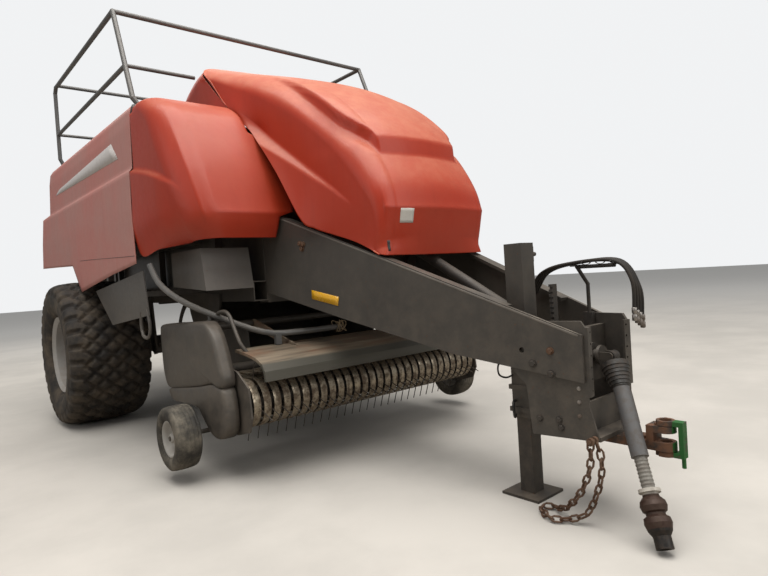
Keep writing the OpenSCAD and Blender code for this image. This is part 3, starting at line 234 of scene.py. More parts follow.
def worn_steel(name, bright, brown, metal=0.75, grain=7):
    """Bare steel polished by the crop, brown where it isn't, with fine scratches along X."""
    f = Finish(name)
    rub = f.between(f.noise(grain, 6, 0.7), 0.38, 0.62)
    speck = f.between(f.noise(45, 5, 0.7), 0.5, 0.7)
    base = f.mix(rub, brown, bright)
    base = f.mix(speck * 0.6, base, tuple(0.45 * c for c in brown))
    f.to("Base Color", base)
    f.to("Metallic", rub * metal)
    f.to("Roughness", 0.62 - rub * 0.3 + speck * 0.15)
    f.bump(f.noise(90, 4, 0.6, f.stretched(0.3, 4, 4)), 0.25, 0.001)
    return f.material


bands = worn_steel("crop_polished_steel", (0.46, 0.40, 0.31), (0.12, 0.085, 0.055), 0.9, 22)
rusty = worn_steel("rusty_steel", (0.20, 0.13, 0.09), (0.10, 0.045, 0.022), 0.4)
bright_steel = worn_steel("bright_steel", (0.36, 0.34, 0.32), (0.13, 0.10, 0.08), 0.9)


def plate_finish():
    """The windguard: crop dust rubbed into streaks along X on its top, and a darker front lip."""
    f = Finish("windguard_finish")
    streak = f.between(f.noise(5, 6, 0.65, f.stretched(0.35, 5, 5)), 0.36, 0.64)
    warm = f.between(f.noise(2.2, 4, 0.6), 0.42, 0.62)
    top = f.mix(streak, f.mix(warm, (0.115, 0.095, 0.070), (0.21, 0.115, 0.070)), (0.25, 0.20, 0.145))
    f.to("Base Color", f.mix(f.between(f.axis("Z"), 0.735, 0.752), (0.080, 0.076, 0.062), top))
    f.to("Roughness", streak * 0.3 + 0.42)
    f.bump(f.noise(60, 4), 0.2, 0.0015)
    return f.material


plate = plate_finish()


def dusty_rubber(name, dark=(0.018, 0.016, 0.015), dust=(0.12, 0.095, 0.07), dusty=0.5):
    """Rubber with dust in patches and a fine dull grain."""
    f = Finish(name)
    patch = f.between(f.noise(6, 8, 0.7), 0.35, 0.72)
    f.to("Base Color", f.mix(patch * dusty, dark, dust))
    f.to("Roughness", 0.72 + patch * 0.2)
    f.bump(f.noise(120, 4) * 0.5 + f.noise(25, 4), 0.2, 0.002)
    return f.material


rubber = dusty_rubber("tyre_rubber", dusty=0.95)
gauge_rubber = dusty_rubber("gauge_rubber", (0.028, 0.026, 0.023), (0.22, 0.195, 0.155), 0.95)
hose_rubber = dusty_rubber("hose_rubber", dusty=0.25)
straw = dusty_rubber("twine", (0.30, 0.22, 0.13), (0.50, 0.40, 0.27), 0.8)


def glossy(name, colour, rough=0.2, coat=0.5):
    """Moulded plastic, scuffed a little."""
    f = Finish(name, Coat_Weight=coat)
    scuff = f.between(f.noise(20, 5, 0.7), 0.5, 0.75)
    f.to("Base Color", f.mix(scuff * 0.4, colour, tuple(0.6 * c + 0.05 for c in colour)))
    f.to("Roughness", scuff * 0.3 + rough)
    return f.material


lens = glossy("red_lens", (0.30, 0.012, 0.01))
sticker_white = glossy("blank_sticker", (0.62, 0.60, 0.56), 0.45, 0.0)
silver = glossy("silver_stripe", (0.60, 0.57, 0.56), 0.35, 0.1)
amber = glossy("amber_reflector", (0.75, 0.40, 0.02), 0.25, 0.4)
black = glossy("black_plastic", (0.022, 0.021, 0.020), 0.4, 0.1)


def shaft_finish():
    """The power shaft by the distance from its swing pin: black ribbed bell and dark grey tube, a grey
    ribbed inner tube, a pale collar, a greasy reddish-brown joint and a black end."""
    f = Finish("power_shaft_finish")
    pin, way = np.array([0.060, -3.345, 0.757]), unit((-335, -360, -733))
    along = f.number("ShaderNodeVectorMath", {"operation": "DOT_PRODUCT"}, {0: f.place, 1: tuple(way)}, 1)
    along = along - float(pin @ way)
    grime = f.between(f.noise(30, 6, 0.7), 0.4, 0.65)
    base = f.mix(f.between(along, 0.168, 0.172), (0.026, 0.025, 0.024), (0.105, 0.105, 0.108))
    base = f.mix(f.between(along, 0.498, 0.502), base, (0.21, 0.20, 0.18))
    base = f.mix(f.between(along, 0.638, 0.640), base, (0.50, 0.47, 0.42))
    base = f.mix(f.between(along, 0.662, 0.666), base, (0.050, 0.027, 0.020))
    base = f.mix(f.between(along, 0.800, 0.806), base, (0.016, 0.014, 0.013))
    f.to("Base Color", f.mix(grime * 0.35, base, (0.10, 0.070, 0.050)))
    f.to("Metallic", f.between(along, 0.660, 0.668, 0.0, 0.35))
    f.to("Roughness", grime * 0.35 + 0.38)
    f.bump(f.noise(60, 5), 0.25, 0.0015)
    return f.material


def hitch_finish():
    """The rusty tongue and jaws, and the green casting of the bracket in front of them."""
    f = Finish("hitch_finish")
    rust = f.between(f.noise(14, 6, 0.7), 0.38, 0.62)
    iron = f.mix(rust, (0.050, 0.040, 0.034), (0.16, 0.075, 0.040))
    chip = f.between(f.noise(35, 5, 0.6), 0.56, 0.62)
    casting = f.mix(chip, (0.016, 0.115, 0.022), (0.07, 0.055, 0.04))
    f.to("Base Color", f.mix(f.between(f.axis("Y"), -3.650, -3.647), casting, iron))
    f.to("Roughness", rust * 0.3 + 0.45)
    f.bump(f.noise(50, 5), 0.3, 0.002)
    return f.material


FINISHES = {
    red: "hood front_shield_right front_shield_left top_shield",
    pale_red: "side_panel_right side_panel_left",
    grey: "chamber main_frame tongue_right tongue_left hitch_box jack_tube gearbox packer_duct "
          "needle_frame upper_frame twine_rack_right twine_rack_left ladder pickup_frame "
          "pickup_shields bale_chute",
    # Painted light: the front boxes and lower skirts get the lighter copy of the charcoal paint.
    lit_charcoal: "front_boxes lower_skirts",
    steel: "axle platform knotters density_rams hose_arm jack_leg flywheel driveline pickup_reel",
    bands: "pickup_bands",
    rusty: "safety_chain",
    plate: "windguard",
    pipe: "lift_pipe handrail",
    rim_grey: "rim_right rim_left",
    rubber: "tyre_right tyre_left gauge_wheel_right gauge_wheel_left",
    hose_rubber: "hoses",
    lens: "rear_lights",
    shaft_finish(): "pto_shaft",
    hitch_finish(): "hitch_clevis",
}
for material, names in FINISHES.items():
    for name in names.split():
        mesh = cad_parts[name].data
        for index in range(len(mesh.materials)):
            mesh.materials[index] = material


# Shapes
def curve(points, count):
    """A smooth line through the points, count + 1 of them at even steps: on each span the cubic that keeps
    its neighbours' slopes (Catmull-Rom). Works on every column of a table alike."""
    P = np.asarray(points, float)
    last = len(P) - 1
    t = np.minimum(np.linspace(0, last, count + 1), last - 1e-5)
    i = t.astype(int)
    f = (t - i)[:, None]
    a, b, c, d = P[np.maximum(i - 1, 0)], P[i], P[i + 1], P[np.minimum(i + 2, last)]
    square, cube = 2 * a - 5 * b + 4 * c - d, 3 * b - a - 3 * c + d
    return 0.5 * (2 * b + (c - a) * f + square * f ** 2 + cube * f ** 3)


def piece(name, points, faces, material, body, smooth=True, wall=0.0, stands_for=()):
    """Puts points and faces into a mesh that rides on a body; wall gives a sheet its thickness inwards."""
    mesh = bpy.data.meshes.new(name)
    faces = faces if isinstance(faces, list) else faces.tolist()
    mesh.from_pydata(np.asarray(points, float).tolist(), [], faces)
    mesh.polygons.foreach_set("use_smooth", np.full(len(mesh.polygons), smooth))
    mesh.materials.append(material)
    mesh.update()
    made = bpy.data.objects.new(name, mesh)
    scene.collection.objects.link(made)
    if wall:
        shell = made.modifiers.new("wall", "SOLIDIFY")
        shell.thickness, shell.offset = wall, -1
    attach(made, body)
    if stands_for:
        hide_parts(*stands_for)
    return made


def quads(rows, columns, round_rows=False, round_columns=False, flip=False):
    """The faces of a grid of points; a round direction joins its last line to its first."""
    i, j = np.meshgrid(np.arange(rows - (not round_rows)), np.arange(columns - (not round_columns)),
                       indexing="ij")
    a = i * columns + j
    b = (i + 1) % rows * columns + j
    c = (i + 1) % rows * columns + (j + 1) % columns
    d = i * columns + (j + 1) % columns
    F = np.stack([a, b, c, d], -1).reshape(-1, 4)
    return F[:, ::-1] if flip else F


def normals(grid):
    """Unit normals of a grid: the cross product of its steps along rows and along columns."""
    n = np.cross(np.gradient(grid, axis=0), np.gradient(grid, axis=1))
    return n / np.maximum(np.linalg.norm(n, axis=-1, keepdims=True), 1e-9)


def mirrored(grid):
    """The same grid on the other side of the machine."""
    return grid * np.array([-1.0, 1, 1])


def step(x, low, high):
    """0 below low, 1 above high, with a smooth rise 3t^2 - 2t^3 between."""
    t = np.clip((x - low) / (high - low), 0, 1)
    return t * t * (3 - 2 * t)


def groove(x, at, width):
    """A round valley of depth 1 at a place, exp(-(distance / width)^2)."""
    return np.exp(-((x - at) / width) ** 2)


# Moulded covers
SKIN = 0.006


def cover(rows, steps, crown, spans=(28, 24, 36)):
    """Half rings of a moulded cover at smoothed stations. A station has the ridge point y, z, the half
    width w, the shoulder radius r, the edge point y, z, its half width and the inner x. Down runs from
    ridge to edge. Over the crown the drop is crown (x / (w - r))^2, round the shoulder it follows a
    quarter circle of radius r, and then it is straight to the edge. Where a station is short, crown and r
    shrink with it. The second parameter runs 0-1 over the crown, 1-2 round the shoulder, 2-3 down the
    side."""
    S = curve(rows, steps)
    top, w, r, edge, edge_w, inner = S[:, 0:2], S[:, 2], S[:, 3], S[:, 4:6], S[:, 6], S[:, 7]
    reach = np.linalg.norm(edge - top, axis=1)
    down = (edge - top) / reach[:, None]
    r, crown = np.minimum(r, 0.72 * reach), np.minimum(crown, 0.26 * reach)
    flat = w - r
    k = np.linspace(0, 1, spans[0] + 1)[None, :-1]
    x0 = inner[:, None] * (1 - k) + flat[:, None] * k
    drop0 = crown[:, None] * (x0 / flat[:, None]) ** 2
    a = np.linspace(0, np.pi / 2, spans[1] + 1)[None, :-1]
    x1 = flat[:, None] + r[:, None] * np.sin(a)
    drop1 = crown[:, None] + r[:, None] * (1 - np.cos(a))
    s = np.linspace(0, 1, spans[2] + 1)[None, :]
    x2 = w[:, None] * (1 - s) + edge_w[:, None] * s
    start = top + down * (crown + r)[:, None]
    side = start[:, None, :] * (1 - s[..., None]) + edge[:, None, :] * s[..., None]
    drops = np.concatenate([drop0, drop1], 1)
    yz = np.concatenate([top[:, None, :] + down[:, None, :] * drops[..., None], side], 1)
    grid = np.concatenate([np.concatenate([x0, x1, x2], 1)[..., None], yz], -1) / 1000
    across = np.concatenate([k[0], 1 + a[0] * 2 / np.pi, 2 + s[0]])
    along = np.linspace(0, 1, steps + 1)
    return grid, along[:, None] + 0 * across, across + 0 * along[:, None]


# Points inside the covers in m, and their stations in mm with the columns that cover() names
HOOD_INSIDE, SHIELD_INSIDE = (0, -1.2, 1.6), (0.7, -0.6, 1.8)
HOOD_ROWS = [
    [-2275, 1338, 448, 75, -2222, 1352, 452, 0], [-2325, 1640, 462, 105, -2050, 1436, 480, 0],
    [-2262, 1862, 488, 140, -1870, 1500, 520, 0], [-2008, 2190, 520, 175, -1740, 1550, 562, 0],
    [-1600, 2512, 570, 208, -1640, 1620, 600, 0], [-1120, 2755, 620, 230, -1440, 1960, 640, 0],
    [-700, 2898, 650, 240, -1200, 2250, 660, 0], [-430, 3000, 660, 250, -900, 2500, 665, 0],
    [-300, 3040, 660, 250, -640, 2780, 665, 0]]
SHIELD_ROWS = [
    [-1360, 1530, 1130, 150, -1150, 1520, 1120, 620], [-1400, 1690, 1200, 170, -900, 1500, 1230, 606],
    [-1330, 1950, 1250, 190, -612, 1490, 1275, 470], [-1215, 2200, 1275, 200, -612, 1900, 1280, 650],
    [-1080, 2400, 1280, 180, -612, 2250, 1280, 682], [-900, 2515, 1280, 150, -612, 2400, 1280, 684],
    [-760, 2545, 1270, 100, -612, 2440, 1280, 684], [-612, 2545, 1262, 80, -612.5, 2460, 1280, 684]]
TOP_ROWS = [
    [-286, 3038, 660, 250, -878, 2512, 665, 0], [-150, 3020, 660, 250, -620, 2556, 665, 0],
    [0, 2965, 660, 240, -300, 2556, 665, 0], [100, 2870, 660, 200, 0, 2556, 665, 0],
    [150, 2740, 660, 150, 130, 2556, 665, 0]]


def whole_cover(half):
    """Both halves of a cover in one grid, from the right edge over the ridge to the left edge."""
    return np.concatenate([mirrored(half)[:, ::-1], half[:, 1:]], 1)


def outward(grid, centre):
    """Unit normals that look away from a point inside."""
    n = normals(grid)
    return n * np.sign(((grid - np.asarray(centre)) * n).sum(-1).mean())


def hood_form():
    """The opening hood. Its side sinks, up to 0.055 m, with the 1.4th power of the way down from the
    shoulder to a slanting line, and comes back out over a ledge that narrows forwards. The middle of its
    top stands up to 0.056 m proud between two creases, whose x is interpolated along the machine; a smooth
    step makes the crease, and a round valley 0.012 m deep runs outside it. The nose has a fold 0.014 m
    high at 1.62 m, where its upright face begins, that fades with exp(-distance / 0.05)."""
    half, along, across = cover(HOOD_ROWS, 216, 40, (34, 22, 44))
    n = outward(half, HOOD_INSIDE)
    x, y, z = np.moveaxis(half, -1, 0)
    line_high = 2.276 + (y + 1.267) * 0.768
    line_low = 2.153 + (y + 1.290) * 0.6305
    above = z - line_high
    shoulder_above = above[:, np.argmax(across[0] >= 1.7)][:, None]
    sinking = (1 - np.clip(above / np.maximum(shoulder_above, 0.05), 0, 1)) ** 1.4
    back_out = 1 - step(line_high - z, 0.0, np.maximum(line_high - line_low, 0.02))
    depth = 0.055 * np.clip((y + 2.056) / 0.78, 0, 1) * (across > 1.0) * (1 - step(y, -1.24, -0.98))
    sunk = depth * sinking * back_out
    crease_x = np.interp(-y, [1.1, 1.36, 1.60, 1.75, 1.87, 1.95, 2.02, 2.08, 2.3],
                         [0.450, 0.458, 0.460, 0.454, 0.440, 0.420, 0.385, 0.335, 0.31])
    inside = 1 - step(x - crease_x, -0.004, 0.024)
    raised = 0.056 * step(-y, 1.0, 1.85) * inside * np.clip((z - 1.962) / 0.078, 0, 1) * (across < 1.6)
    sunk_round = 0.012 * groove(x, crease_x + 0.055, 0.035) * step(-y, 1.2, 1.7) * step(z, 1.95, 2.05)
    fold = 0.014 * np.exp(-np.abs(z - 1.62) / 0.05) * (along < 0.35) * (across < 1.5)
    return whole_cover(half + n * (raised + fold - sunk - sunk_round)[..., None])


def panel(name, grid, material, body, wall, stands_for=(), *, centre):
    """A grid as a piece, turned so that its faces look away from a point inside."""
    flip = (normals(grid) * (grid - np.asarray(centre))).sum(-1).mean() < 0
    return piece(name, grid.reshape(-1, 3), quads(*grid.shape[:2], flip=flip), material, body, True, wall,
                 stands_for)


hood_surface = hood_form()
panel("hood_shell", hood_surface, hood_red, "hood", SKIN, ["hood"], centre=HOOD_INSIDE)


def front_cover_form():
    """A front cover. A fold 0.012 m high at 1.69 m, that fades with exp(-distance / 0.035); a wave that
    carries the side panel's crease round the corner: below the wave the side stands 0.028 m proud, fading
    by smooth steps towards the front and the bottom; a firmer edge, 0.012 m, between the front face and
    the side."""
    half, _, across = cover(SHIELD_ROWS, 150, 4, (30, 30, 40))
    n = outward(half, SHIELD_INSIDE)
    x, y, z = np.moveaxis(half, -1, 0)
    # The inner edge goes in behind the hood's edge, above the drawbar plate
    inner = np.interp(z, [1.53, 1.668, 1.70, 1.95, 2.20, 2.245, 2.275, 2.60],
                      [0.620, 0.608, 0.500, 0.470, 0.560, 0.620, 0.678, 0.684])
    front = across < 1
    flat, now = x[:, np.argmax(across[0] >= 1)][:, None], x[:, :1]
    half[..., 0] = np.where(front, flat - (flat - x) * (flat - inner) / (flat - now), x)
    wave = np.interp(-y, [0.60, 0.74, 0.92, 1.07, 1.21, 1.30], [2.078, 2.052, 2.010, 1.962, 1.895, 1.815])
    fading = (1 - step(-y, 1.0, 1.31)) * (across > 0.9)
    proud = 0.028 * step(wave - z, -0.004, 0.018) * step(z, 1.45, 1.72) * fading
    fold = 0.012 * np.exp(-np.abs(z - 1.690) / 0.035) * (1 - step(across, 0.8, 1.3))
    corner = 0.012 * np.exp(-np.abs(across - 1.38) / 0.10) * step(2.5 - z, 0, 0.5) * step(z, 1.6, 1.7)
    return half + n * (proud + fold + corner)[..., None]


shield_half = front_cover_form()
panel("front_cover_left", shield_half, red, "root", SKIN, ["front_shield_left"], centre=SHIELD_INSIDE)
panel("front_cover_right", mirrored(shield_half), red, "root", SKIN, ["front_shield_right"],
      centre=mirrored(SHIELD_INSIDE))
panel("top_cover", whole_cover(cover(TOP_ROWS, 60, 40)[0]), red, "root", SKIN, ["top_shield"],
      centre=(0, -0.3, 2.4))

# The side panels in m: rows as x out from PANEL_X, z and rear end y, and the lowest edge as y and z
PANEL_X, PANEL_TOP, PANEL_FRONT, PANEL_REAR = 1.280, 2.540, -0.598, 2.600
PANEL_ROWS = np.array([
    [-0.036, PANEL_TOP, 2.070], [-0.012, PANEL_TOP - 0.040, 2.080], [0, PANEL_TOP - 0.140, 2.095],
    [0.004, 2.200, 2.120], [0.006, 2.092, 2.140], [0.028, 2.064, 2.400], [0.032, 1.800, 2.500]])
PANEL_LOW = np.array([[-598, 1420], [0, 1365], [600, 1295], [960, 1252], [1050, 1325], [1230, 1500],
                      [1800, 1520], [2600, 1545]]) / 1000


def side_panel_form():
    """A gull panel: each row has its own x, height and rear end, and all start at the panel's front; rows
    run straight between the creases, and the lowest one follows the arch over the wheel."""
    across = np.linspace(0, 1, 161)
    low = np.interp(across * (PANEL_REAR - PANEL_FRONT) + PANEL_FRONT, PANEL_LOW[:, 0], PANEL_LOW[:, 1])

    def row(x, z, rear):
        return np.stack([0 * across + x, PANEL_FRONT + across * (rear - PANEL_FRONT), 0 * across + z], -1)

    rows = []
    for first, second, count in zip(PANEL_ROWS[:-1], PANEL_ROWS[1:], (4, 5, 8, 5, 5, 10)):
        for k in np.arange(count) / count:
            x, z, rear = first * (1 - k) + second * k
            rows.append(row(PANEL_X + x, z, rear))
    x, z, rear = PANEL_ROWS[-1]
    for k in np.linspace(0, 1, 15):
        rows.append(row(PANEL_X + x - 0.006 * k, z * (1 - k) + low * k, rear * (1 - k) + PANEL_REAR * k))
    return np.array(rows)


side_form = side_panel_form()
panel("gull_panel_left", side_form, pale_red, "panel_left", SKIN, ["side_panel_left"], centre=(0, 1, 1.9))
panel("gull_panel_right", mirrored(side_form), pale_red, "panel_right", SKIN, ["side_panel_right"],
      centre=(0, 1, 1.9))


# Wheels
TYRE_HALF, TREAD_PITCHES, PITCH_ACROSS = 0.350, 30, 0.155
TYRE_CENTRE = (1.146, 1.346, 0.675)


def tyre_form(side):
    """A wide low-pressure tyre. Its section runs from bead to bead through the sidewalls' bulge; the
    tread's height is a lattice of two slanted families of grooves, whose diamonds end in longer shoulder
    blocks, and three low rings run round each sidewall; height is along the section's normal. Round the
    axle the section is turned through a full circle."""
    h = TYRE_HALF
    half = np.array([[-h + 0.09, 0.330], [-h + 0.072, 0.362], [-h + 0.03, 0.405], [-h + 0.006, 0.47],
                     [-h + 0.002, 0.535], [-h + 0.016, 0.585], [-h + 0.045, 0.618], [-h + 0.095, 0.636],
                     [-h + 0.18, 0.645], [-0.06, 0.649]])
    section = np.concatenate([half, half[::-1] * [-1, 1]])
    P = curve(section, 116)
    turn = np.linspace(0, tau, 480, endpoint=False)[:, None]
    x, r = P[:, 0][None, :], P[:, 1][None, :]
    tangent = np.gradient(P, axis=0)
    n = np.stack([-tangent[:, 1], tangent[:, 0]], -1)
    n /= np.linalg.norm(n, axis=1, keepdims=True)
    around = turn * TREAD_PITCHES / tau
    slant = x / PITCH_ACROSS
    first = np.abs((around + slant) % 1 - 0.5) * 2
    second = np.abs((around - slant) % 1 - 0.5) * 2
    blocks = step(first, 0.16, 0.36) * step(second, 0.16, 0.36)
    shoulder_bars = step(np.abs((around + 0.25 * np.sign(x)) % 1 - 0.5) * 2, 0.22, 0.42)
    outer = step(np.abs(x), 0.225, 0.255)
    lattice = blocks * (1 - outer) + shoulder_bars * outer
    on_tread = step(r, 0.560, 0.618)
    ridge = 0.004 * (groove(r, 0.452, 0.006) + groove(r, 0.385, 0.005) + 0.7 * groove(r, 0.545, 0.006))
    height = 0.0255 * lattice * on_tread + ridge
    x = x + n[:, 0][None, :] * height
    r = r + n[:, 1][None, :] * height
    wheel_x, wheel_y, wheel_z = TYRE_CENTRE
    return np.stack([side * (wheel_x + x), wheel_y + r * np.sin(turn), wheel_z + r * np.cos(turn)], -1)


def turned(name, grid, material, body, stands_for=(), flip=False):
    """A grid whose rows close round an axle and whose section closes on itself."""
    return piece(name, grid.reshape(-1, 3), quads(*grid.shape[:2], True, True, flip), material, body,
                 stands_for=stands_for)


for side, name in SIDES:
    turned("fine_tyre_" + name, tyre_form(side), rubber, "wheel_" + name, ["tyre_" + name], flip=side > 0)


# Small parts
def rings_about(profile, centre, axle, sides=48, hexed=()):
    """Circles round an axle, one for each row (place along it, radius) of a profile. The rows named in
    hexed become hexagons whose corners lie at that radius."""
    p = np.asarray(profile, float)
    axle = unit(axle)
    first = unit(np.cross(axle, (0, 0, 1) if abs(axle[2]) < 0.9 else (1, 0, 0)))
    turn = np.arange(sides) / sides * tau
    circle = np.cos(turn)[:, None] * first + np.sin(turn)[:, None] * np.cross(axle, first)
    hexagon = np.cos(tau / 12) / np.cos(turn % (tau / 6) - tau / 12)
    out = np.where(np.isin(np.arange(len(p)), hexed)[:, None], hexagon, 1.0) * p[:, 1, None]
    return np.asarray(centre, float) + p[:, 0, None, None] * axle + out[..., None] * circle


def tube(route, radius, sides=10, count=0):
    """Circles across a line of points, which is smoothed first where a count is given. The circles are
    laid out from the axis of space that the line runs along the least."""
    P = curve(route, count) if count else np.asarray(route, float)
    ahead = np.gradient(P, axis=0)
    ahead /= np.linalg.norm(ahead, axis=1, keepdims=True)
    first = np.cross(ahead, np.eye(3)[np.argmin(np.abs(ahead).max(0))])
    first /= np.linalg.norm(first, axis=1, keepdims=True)
    second = np.cross(ahead, first)
    turn = np.arange(sides) / sides * tau
    circle = np.cos(turn)[:, None] * first[:, None] + np.sin(turn)[:, None] * second[:, None]
    return P[:, None] + np.broadcast_to(radius, len(P))[:, None, None] * circle


def closed(rings, flip=False, ends=(0, -1)):
    """Points and faces of one stack of rings, whose ends are closed to their middles."""
    rows, columns = rings.shape[:2]
    here = np.arange(columns)
    after = (here + 1) % columns
    last, middle = (rows - 1) * columns, 0 * here + rows * columns
    rims = {0: (after, here), -1: (here + last, after + last)}
    faces = quads(rows, columns, False, True, flip).tolist()
    for count, end in enumerate(ends):
        faces += np.stack([*rims[end], middle + count], -1).tolist()
    return np.concatenate([rings.reshape(-1, 3), rings[list(ends)].mean(1)]), faces


def solid(name, shapes, material, body, smooth=True):
    """Closed stacks of rings as one piece, with the faces turned outwards."""
    points, faces, start = [], [], 0
    for rings in shapes:
        corners, sides = closed(rings)
        points.append(corners)
        faces += [[start + corner for corner in face] for face in sides]
        start += len(corners)
    made = piece(name, np.concatenate(points), faces, material, body, smooth)
    outside = bmesh.new()
    outside.from_mesh(made.data)
    bmesh.ops.recalc_face_normals(outside, faces=outside.faces)
    outside.to_mesh(made.data)
    outside.free()
    return made


def bolt(place, away, size):
    """A hexagon head on a washer, size across its half width, looking away from its seat."""
    rows = np.array([[-0.10, 1.5], [0.22, 1.5], [0.22, 1.1], [0.95, 1.1], [1.05, 0.9]]) * size
    return rings_about(rows, place, away, 12, (2, 3, 4))


BAR_TIP, BAR_HALF, BAR_SLOPE = -3.350, 0.2304, 0.395 / 2.160
BAR_OUT = unit((-1, -BAR_SLOPE, 0))


def on_bar(y, z, side, out):
    """A point on the outer face of a drawbar plate, or out from it. The plates spread evenly from the
    tip."""
    x = BAR_HALF + (y - BAR_TIP) * BAR_SLOPE + out / np.hypot(1, BAR_SLOPE)
    return np.stack([side * x, y, z], -1)


def strip(name, corners, material, body, rows=2, columns=9):
    """A thin flat patch between four corners, given round its edge."""
    a, b, c, d = np.asarray(corners, float)
    u = np.linspace(0, 1, columns)[None, :, None]
    v = np.linspace(0, 1, rows)[:, None, None]
    grid = (a * (1 - u) + b * u) * (1 - v) + (d * (1 - u) + c * u) * v
    inside = (0, grid[..., 1].mean(), grid[..., 2].mean() - 0.2)
    return panel(name, grid, material, body, 0.0006, centre=inside)


def on_form(grid, near, keys, wanted):
    """Points of a form's surface that have the wanted coordinates, such as x and z: from the nearest grid
    point, Newton's steps in row and column on the bilinear surface."""
    rows, columns = grid.shape[:2]
    flat = grid[..., keys].reshape(-1, 2)
    far = np.where(near.reshape(-1)[None, :], ((wanted[:, None] - flat) ** 2).sum(-1), 1e9)
    i, j = np.divmod(far.argmin(1).astype(float), columns)

    def at(i, j):
        p, q = np.clip(i.astype(int), 0, rows - 2), np.clip(j.astype(int), 0, columns - 2)
        s, t = (i - p)[:, None], (j - q)[:, None]
        return ((grid[p, q] * (1 - t) + grid[p, q + 1] * t) * (1 - s)
                + (grid[p + 1, q] * (1 - t) + grid[p + 1, q + 1] * t) * s)

    for _ in range(5):
        now = at(i, j)
        di, dj = (at(i + 0.5, j) - at(i - 0.5, j))[:, keys], (at(i, j + 0.5) - at(i, j - 0.5))[:, keys]
        miss = wanted - now[:, keys]
        det = di[:, 0] * dj[:, 1] - di[:, 1] * dj[:, 0]
        i = np.clip(i + (miss[:, 0] * dj[:, 1] - miss[:, 1] * dj[:, 0]) / det, 0, rows - 1.001)
        j = np.clip(j + (di[:, 0] * miss[:, 1] - di[:, 1] * miss[:, 0]) / det, 0, columns - 1.001)
    return at(i, j)


def hood_patches():
    """Low on the hood's nose: a blank white sticker, 0.096 m wide, and the dark slot of the latch."""
    front = (hood_surface[..., 1] < -2.0) & (hood_surface[..., 0] < 0)
    patches = (("blank_sticker", sticker_white, (-0.336, -0.240), (1.612, 1.528)),
               ("hood_latch", black, (-0.410, -0.394), (1.428, 1.366)))
    for name, material, across, height in patches:
        x, z = np.meshgrid(np.linspace(*across, 7), np.linspace(*height, 6))
        grid = on_form(hood_surface, front, [0, 2], np.stack([x.ravel(), z.ravel()], -1)).reshape(6, 7, 3)
        panel(name, grid + np.array([0, -0.0012, 0]), material, "hood", 0.0005, centre=(0, 0, 1.5))


hood_patches()
for side, name in SIDES:
    corners = [(side * (1.3292 - 0.02 * z), y, z)
               for y, z in ((1.667, 2.2886), (-0.144, 2.356), (-0.297, 2.212), (1.815, 2.250))]
    strip("panel_stripe_" + name, corners, silver, "panel_" + name, 3, 17)

# Each row: name, distance out from the drawbar plates' face, size, finish, places y and z
DRAWBAR_BOLTS = [
    ("drawbar_bolts", 0.0004, 0.014, steel, ((-3.112, 0.752), (-3.202, 0.705))),
    ("rusty_bolts", 0.0004, 0.013, rusty,
     ((-3.202, 0.815), (-1.555, 1.470), (-1.585, 1.462), (-1.570, 1.435))),
    ("flange_bolts", -0.0206, 0.007, bright_steel, ((-3.318, 0.640), (-3.316, 0.575), (-3.314, 0.510))),
    ("hitch_bolts", -0.0206, 0.012, steel, ((-3.120, 0.480), (-3.215, 0.482), (-3.224, 0.445)))]


def drawbar_trim():
    """On each drawbar plate: its rounded top edge, an amber reflector, and the bolts through its root and
    tip."""
    y = np.linspace(-3.335, -1.24, 60)
    top = 0.892 + 0.39 * (y - BAR_TIP)
    reflector_y = np.array([-1.636, -1.869, -1.860, -1.632])
    reflector_z = np.array([1.161, 1.110, 1.053, 1.103])
    for side, name in SIDES:
        edge = on_bar(y, top - 0.0095, side, -0.0092)
        solid("drawbar_edge_" + name, [tube(edge, 0.0105, 12)], edge_paint, "root")
        strip("amber_reflector_" + name, on_bar(reflector_y, reflector_z, side, 0.003), amber, "root")
        away = BAR_OUT * (-side, 1, 1)
        for kind, out, size, finish, places in DRAWBAR_BOLTS:
            bolts = [bolt(on_bar(at_y, at_z, side, out), away, size) for at_y, at_z in places]
            solid(f"{kind}_{name}", bolts, finish, "root", False)


drawbar_trim()


def pickup_covers():
    """The pickup's end covers in two halves. Each ring is the outline, rounded through its points and
    drawn in towards its middle by the scale of its row: they turn in at the rim, and then the face swells
    12 mm to its middle."""
    inner_x, middle_out = 1.052, 0.0975
    upper = [[-500, 930], [-560, 968], [-900, 985], [-1210, 998], [-1300, 985], [-1370, 930], [-1420, 845],
             [-1455, 760], [-1488, 660], [-1462, 606], [-1350, 622], [-1180, 592], [-1000, 566],
             [-800, 540], [-640, 522], [-560, 540], [-512, 640], [-500, 780]]
    lower = [[-1470, 588], [-1492, 545], [-1508, 440], [-1497, 350], [-1440, 295], [-1370, 280],
             [-1300, 300], [-1225, 370], [-1160, 430], [-1040, 446], [-900, 452], [-760, 444], [-650, 442],
             [-603, 475], [-612, 510], [-800, 535], [-1000, 558], [-1180, 584], [-1350, 611], [-1430, 600]]
    rim = [(1.0, 0.0), (1.0, 0.030), (1.0, 0.058), (0.998, 0.068), (0.990, 0.076), (0.975, 0.0815),
           (0.95, 0.085), (0.90, 0.087), (0.80, 0.090), (0.60, 0.094), (0.35, 0.0965)]
    for side, name in SIDES:
        for part, outline in (("upper", upper), ("lower", lower)):
            P = np.array(outline[-2:] + outline + outline[:3], float) / 1000
            P = curve(P, 8 * (len(P) - 1))[16:-17]
            middle = P.mean(0)
            rows = [np.column_stack([0 * P[:, 0] + side * (inner_x + out), middle + scale * (P - middle)])
                    for scale, out in rim]
            points, faces = closed(np.array(rows), True, (-1,))
            points[-1, 0] = side * (inner_x + middle_out)
            faces = faces if side < 0 else [face[::-1] for face in faces]
            piece(f"pickup_cover_{part}_{name}", points, faces, grey, "pickup", True, SKIN,
                  ["pickup_shields"] if (part, name) == ("upper", "right") else [])


pickup_covers()


